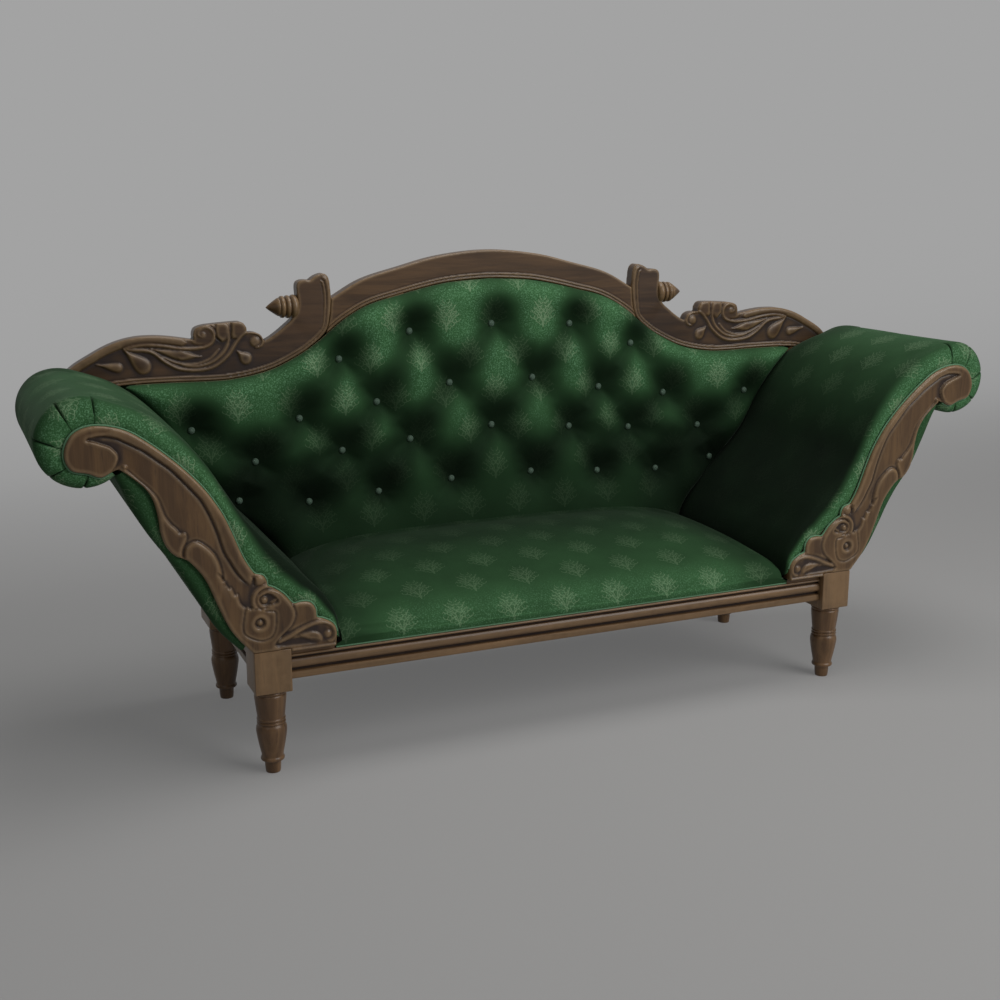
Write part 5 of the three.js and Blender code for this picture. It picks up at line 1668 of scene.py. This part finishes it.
# Painted shade low on the inside of the arm and towards its rear, painted light on the front lip, and
# painted shade in the creases.
light_by_height = (0.02 + 0.44 * eased(up / MM, 340, 800)) * (1 - 0.6 * eased(arm_depth, 60, 220))
lip_end = 8 + 7 * eased(arm_walk, 220, 480)
lip_light = 1 - eased(turn, 2, lip_end[level])
crease_shade = crease[level] / 8.5 * (1 - eased(turn, 13, 20))
paint_light(arm, (light_by_height + (0.9 - light_by_height) * lip_light) * (1 - crease_shade))
smooth_shading(arm, 60)
arm_left = mirror_piece(arm, "arm_cover_left")
for cover, node in ((arm, "arm_pad_right"), (arm_left, "arm_pad_left")):
    dress(cover, damask_velvet, "damask", node)
print("the arm's cloth is", round(arm_walk[-1]), "mm long and swelled by", round(most / MM, 1), "mm")

# %% Outer panels
panel_line = smooth_line([
    (1056, 712), (1051, 699), (1045, 686), (1037, 663), (1025, 634), (994, 578), (956, 520),
    (918, 455), (889, 400), (857, 347), (815, 300.2),
])
panel_line = even_line(panel_line, 6)
under_path = even_line(smooth_line(facade_under), 3)
under_tuck = tuck_under(panel_line, under_path, 5)
plain = np.zeros(len(panel_line))
panel_thickness = np.full(len(panel_line), 24.0)
panel, across, up, level, turn = band(
    "arm_outside_right", panel_line, under_tuck, panel_thickness, 6, plain, plain
)
lay_cloth(panel, across, up)
# Painted light on the panel's front lip.
paint_light(panel, 0.25 + 0.3 * (1 - eased(turn, 3, 15)))
smooth_shading(panel, 60)
panel_left = mirror_piece(panel, "arm_outside_left")
for cover, node in ((panel, "arm_outer_panel_right"), (panel_left, "arm_outer_panel_left")):
    dress(cover, damask_velvet, "damask", node)
print("the outside of an arm has", len(panel.data.polygons), "faces")

# %% [markdown]
# Cords
#
# A thin covered cord hides the tacks between the velvet and the wood. It is a curve with a round
# section, made a mesh, and it follows the same lines as the carved fronts and the front rail.

# %% Piping
cord_radius = 2.1


def piping(name, path):
    """A cord with a round section along a path in metres."""
    deselect()
    bpy.ops.curve.primitive_nurbs_path_add()
    cord = bpy.context.object
    cord.data.splines.clear()
    spline = cord.data.splines.new("POLY")
    spline.points.add(len(path) - 1)
    spline.points.foreach_set("co", np.column_stack([path, np.ones(len(path))]).ravel())
    cord.data.bevel_depth = cord_radius * MM
    cord.data.bevel_resolution = 3
    cord.data.use_fill_caps = True
    bpy.ops.object.convert(target="MESH")
    piece = start(name)
    bpy.ops.object.shade_smooth()
    return piece


cord_path = [*wing_end[1:], *scroll_tab[1:], *scroll_top[1:], *scroll_ball[1:], *facade_edge[1:-1]]
cord_line = shifted(even_line(smooth_line(cord_path, 4), 4), 1.6)
arm_cord_y = -293.5
cord_depth = np.full(len(cord_line), arm_cord_y)
cord_path = np.column_stack([cord_line[:, 0], cord_depth, cord_line[:, 1]]) * MM
arm_cord = piping("arm_cord_right", cord_path)
arm_cord_left = mirror_piece(arm_cord, "arm_cord_left")
dress(arm_cord, cord_green, "piping", "arm_piping_right")
dress(arm_cord_left, cord_green, "piping", "arm_piping_left")
seat_cord_half, seat_cord_y, seat_cord_z = 602, -284.2, 282.2
seat_run = np.linspace(-seat_cord_half, seat_cord_half, 120)
level_run = np.ones(len(seat_run))
cord_path = np.column_stack([seat_run, level_run * seat_cord_y, level_run * seat_cord_z]) * MM
seat_cord = piping("seat_cord", cord_path)
dress(seat_cord, cord_green, "piping", "seat_piping")
print("an arm cord is", round(walk(cord_line)[-1]), "mm long, the seat's", 2 * seat_cord_half)

# %% [markdown]
# Flat cloths
#
# The outside back, the linings and the black cloth underneath are single layers stretched between
# the frame's members and tacked. Each starts as a grid, loses what lies outside its outline, has
# its rim moved onto the outline, sinks a little where no wood is behind it, and gets its thickness.

# %% Stretched cloths
def stretched(name, outline, place, cell, sag, thickness):
    """A cloth cut to an outline; place lays its plane in the room and sag says how it hangs."""
    low, high = outline.min(axis=0), outline.max(axis=0)
    counts = np.ceil((high - low) / cell).astype(int)
    deselect()
    columns, rows = map(int, counts)
    bpy.ops.mesh.primitive_grid_add(x_subdivisions=columns, y_subdivisions=rows, size=2)
    piece = start(name)
    co = points_of(piece)[:, :2]
    flat = low + (co + 1) / 2 * (high - low)
    outside = ~within(flat[:, 0], flat[:, 1], outline)
    move_points(piece, np.column_stack([flat, np.zeros(len(flat))]))
    shell = open_piece(piece, "VERT")
    shell.verts.ensure_lookup_table()
    for vertex in shell.verts:
        vertex.select_set(bool(outside[vertex.index]))
    bmesh.update_edit_mesh(piece.data)
    bpy.ops.mesh.delete(type="VERT")
    bpy.ops.object.mode_set(mode="OBJECT")
    shell = bmesh.new()
    shell.from_mesh(piece.data)
    rim = np.array([vertex.is_boundary for vertex in shell.verts])
    shell.free()
    flat = points_of(piece)[:, :2]
    dense = even_line(np.vstack([outline, outline[:1]]), cell / 4)
    for k in np.flatnonzero(rim):
        flat[k] = dense[np.argmin(np.hypot(*(dense - flat[k]).T))]
    move_points(piece, place(flat, sag(flat)))
    lay_cloth(piece, flat[:, 0] * MM, flat[:, 1] * MM)
    modify(piece, "SOLIDIFY", thickness=thickness * MM, offset=-1)
    smooth_shading(piece, 50)
    return piece


def upright(depth):
    def place(flat, sag):
        return np.column_stack([flat[:, 0], depth + sag, flat[:, 1]]) * MM
    return place


def declare_stretched(piece, size):
    """Says what a tacked cloth was cut from; the area of one of its faces, in square metres, is worked
    out but not said.
    """
    area = sum(face.area for face in piece.data.polygons) / 2
    size = [side * MM for side in size]
    area = min(area, size[0] * size[1])
    print(piece.name, "was cut from", [round(side, 2) for side in size], "m")


print("a cloth can be stretched and declared")

# %% Outside back
cover_reach = 1044.9
cover_step = 10
cover_foot = np.array([(757, 277), (757, 299), (815, 299)], float)
cover_side = np.array([(cover_reach, 712), (cover_reach, 806)], float)
cover_low_half = [
    even_line(line, cover_step)[:-1] for line in (cover_foot, panel_line[::-1], cover_side)
]
cover_top = smooth_line([
    (1040, 810), (985, 824), (915, 829), (829, 829), (726, 827), (670, 831), (620, 839),
    (576, 852), (530, 874), (490, 897), (460, 917), (400, 963), (333, 998), (250, 1020),
    (181, 1036), (110, 1048), (0, 1055),
])
right_half = np.vstack([*cover_low_half, even_line(cover_top, cover_step)])
right_half[:, 0] = np.minimum(right_half[:, 0], cover_reach)
cover_outline = np.vstack([right_half, right_half[::-1][1:] * (-1, 1)])


def back_sag(flat):
    """Sinks between the stiles, the boards and the rails of the back."""
    x, z = np.abs(flat[:, 0]), flat[:, 1]
    edge, _ = near(flat[:, 0], z, np.vstack([cover_outline, cover_outline[:1]]))
    bays = eased(np.abs(x - 260), 23, 120) * eased(edge, 14, 90) * eased(z, 358, 430)
    creases = np.sin(x / 31 + z / 47) + np.sin(z / 23 - x / 71)
    return -(bays * (1.9 + creases * 0.35) * (x < 600)) - 0.25 * eased(edge, 14, 60)


back_cloth = stretched("back_cloth", cover_outline, upright(293.4), 12, back_sag, 1.2)
paint_light(back_cloth, 0.4)
dress(back_cloth, damask_velvet, "damask", "back_cover")
declare_stretched(back_cloth, np.ptp(cover_outline, axis=0))

# %% Linings and the cloth underneath
def level_plane(height):
    def place(flat, sag):
        return np.column_stack([flat[:, 0], flat[:, 1], height + sag]) * MM
    return place


inner_span, wide_span = 707.5, 760.5
rail_line, rear_line, notch_front, notch_rear = -274.5, 289.5, -216.5, 178.5
dust_half = [
    (inner_span, rail_line), (inner_span, notch_front), (wide_span, notch_front),
    (wide_span, notch_rear), (inner_span, notch_rear), (inner_span, rear_line),
]
dust_outline = np.array(dust_half + [(-x, y) for x, y in dust_half[::-1]], float)


def dust_sag(flat):
    edge, _ = near(flat[:, 0], flat[:, 1], np.vstack([dust_outline, dust_outline[:1]]))
    waves = np.sin(flat[:, 0] / 57 + flat[:, 1] / 83) * np.sin(flat[:, 1] / 61)
    return -(2.6 + 0.5 * waves) * eased(edge, 26, 170)


dust_cloth = stretched("dust_cloth", dust_outline, level_plane(219.6), 14, dust_sag, 0.8)
dress(dust_cloth, cambric, "dust_cloth", "dust_cover")
declare_stretched(dust_cloth, np.ptp(dust_outline, axis=0))
spring_low, spring_rear = -267, 274
lining_outline = np.array([
    (-seat_half, spring_low), (seat_half, spring_low),
    (seat_half, spring_rear), (-seat_half, spring_rear),
], float)


def lining_sag(flat):
    return 0.1 * np.sin(flat[:, 0] / 23) * np.sin(flat[:, 1] / 29)


spring_lining = stretched("spring_lining", lining_outline, level_plane(291.3), 14, lining_sag, 0.8)
dress(spring_lining, jute, "jute", "seat_hessian")
declare_stretched(spring_lining, np.ptp(lining_outline, axis=0))
back_lining = stretched("back_lining", back_border, upright(256.3), 14, lining_sag, 0.7)
dress(back_lining, jute, "jute", "back_hessian")
declare_stretched(back_lining, np.ptp(back_border, axis=0))

# %% [markdown]
# Inside the seat
#
# Under the stuffing a sprung seat has woven straps, coil springs that stand on their crossings and
# twine that ties the springs' tops down. None of it shows from outside, but it is there, because a
# seat cannot work without it. Each strap is made by one function, and one spring is made and then
# copied.

# %% Webbing
spring_lines_x = [-490.1, -294.1, -98.0, 98.0, 294.1, 490.1]
spring_lines_y = [-125.75, 129.75]
strap_width, strap_height, strap_step = 52, 220.9, 0.45
strap_front, strap_rear, strap_half = -270, 288, 760


def strap(name, start_at, end_at, along_x, crossings, first_over):
    """A woven strap that passes over and under the straps that cross it."""
    deselect()
    length = np.hypot(*(np.array(end_at) - np.array(start_at)))
    bpy.ops.mesh.primitive_grid_add(x_subdivisions=int(length / 9), y_subdivisions=4, size=2)
    piece = start(name)
    co = points_of(piece)
    share, side = (co[:, 0] + 1) / 2, co[:, 1]
    run = start_at[0 if along_x else 1] + share * length
    lift = np.zeros(len(run))
    for k, crossing in enumerate(crossings):
        over = 1 if (k + first_over) % 2 else -1
        lift += over * strap_step * (1 - eased(np.abs(run - crossing), 30, 60))
    across = side * strap_width / 2 + (start_at[1] if along_x else start_at[0])
    x, y = (run, across) if along_x else (across, run)
    move_points(piece, np.column_stack([x, y, strap_height + lift]) * MM)
    lay_cloth(piece, run * MM, across * MM)
    modify(piece, "SOLIDIFY", thickness=0.8 * MM, offset=0)
    return piece


straps = [
    strap("strap", (x, strap_front), (x, strap_rear), False, spring_lines_y, k % 2)
    for k, x in enumerate(spring_lines_x)
]
straps += [
    strap("strap", (-strap_half, y), (strap_half, y), True, spring_lines_x, (k + 1) % 2)
    for k, y in enumerate(spring_lines_y)
]
webbing = join_pieces(straps, "webbing_straps")
dress(webbing, jute, "jute", "seat_webbing")
print("the seat has", len(straps), "straps")

# %% Springs and twine
def twine_along(run, across, height, along_x):
    """A straight run of twine: a cord drawn in to the twine's radius."""
    even = np.ones(len(run))
    x, y = (run, even * across) if along_x else (even * across, run)
    piece = piping("twine", np.column_stack([x, y, even * height]) * MM)
    select_only(piece)
    bpy.ops.object.mode_set(mode="EDIT")
    bpy.ops.mesh.select_all(action="SELECT")
    bpy.ops.transform.shrink_fatten(value=(twine_radius - cord_radius) * MM)
    bpy.ops.object.mode_set(mode="OBJECT")
    return piece


coil_turns, coil_steps = 3, 26
coil_low, coil_high = 224.2, 286.6
coil_end, coil_waist = 36, 24
twine_radius = 1.5
twine_half, twine_front, twine_rear = 743, -252, 256
upper_twine, lower_twine = 287.6, 284.4
turns = np.linspace(0, 1, coil_turns * coil_steps + 1)
lap = 2 * math.pi * coil_turns * turns
coil_radius = coil_waist + (coil_end - coil_waist) * np.abs(2 * turns - 1) ** 1.2
coil = np.column_stack([coil_radius * np.cos(lap), coil_radius * np.sin(lap),
                        coil_low + (coil_high - coil_low) * turns])
first_coil = piping("coil", coil * MM)
coils = []
for x in spring_lines_x:
    for y in spring_lines_y:
        copy = copy_piece(first_coil, "coil")
        move_points(copy, points_of(copy) + np.array([x, y, 0]) * MM)
        coils.append(copy)
select_only(first_coil)
bpy.ops.object.delete()
seat_coils = join_pieces(coils, "seat_coils")
dress(seat_coils, steel_wire, "spring_steel", "seat_springs")
long_run = np.linspace(-twine_half, twine_half, 60)
short_run = np.linspace(twine_front, twine_rear, 24)
twine = [twine_along(long_run, y, upper_twine, True) for y in spring_lines_y]
twine += [twine_along(short_run, x, lower_twine, False) for x in spring_lines_x]
lashing = join_pieces(twine, "spring_twine")
dress(lashing, jute, "jute")
print("the seat has", len(coils), "springs")

# %% [markdown]
# Wood that keeps its CAD shape
#
# Plain boards need no new shape: the rear rail and the rear arm boards are show wood, and the hidden
# frame is beech. They only get their finish, with the grain along each board.

# %% Frame finishes
finishes = {
    walnut_long: ["rear_seat_rail"],
    walnut_upright: ["arm_rear_board_right", "arm_rear_board_left"],
    beech_long: ["back_bottom_rail"],
    beech_upright: [
        "arm_front_board_right", "arm_front_board_left", "back_stile_right", "back_stile_left",
        "corner_block_front_right", "corner_block_front_left", "corner_block_rear_right",
        "corner_block_rear_left",
    ],
    beech_deep: [
        "seat_brace_right", "seat_brace_left", "arm_roll_rail_right", "arm_roll_rail_left",
        "arm_slat_right", "arm_slat_left",
    ],
}
for finish, nodes in finishes.items():
    for node in nodes:
        bpy.data.objects[node].material_slots[0].material = finish
print("finished", sum(len(nodes) for nodes in finishes.values()), "boards")

# %% [markdown]
# Sizes
#
# The dressed settee has to keep the size of its frame, so the box round its shown pieces is measured.

# %% Measure the size
low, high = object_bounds()
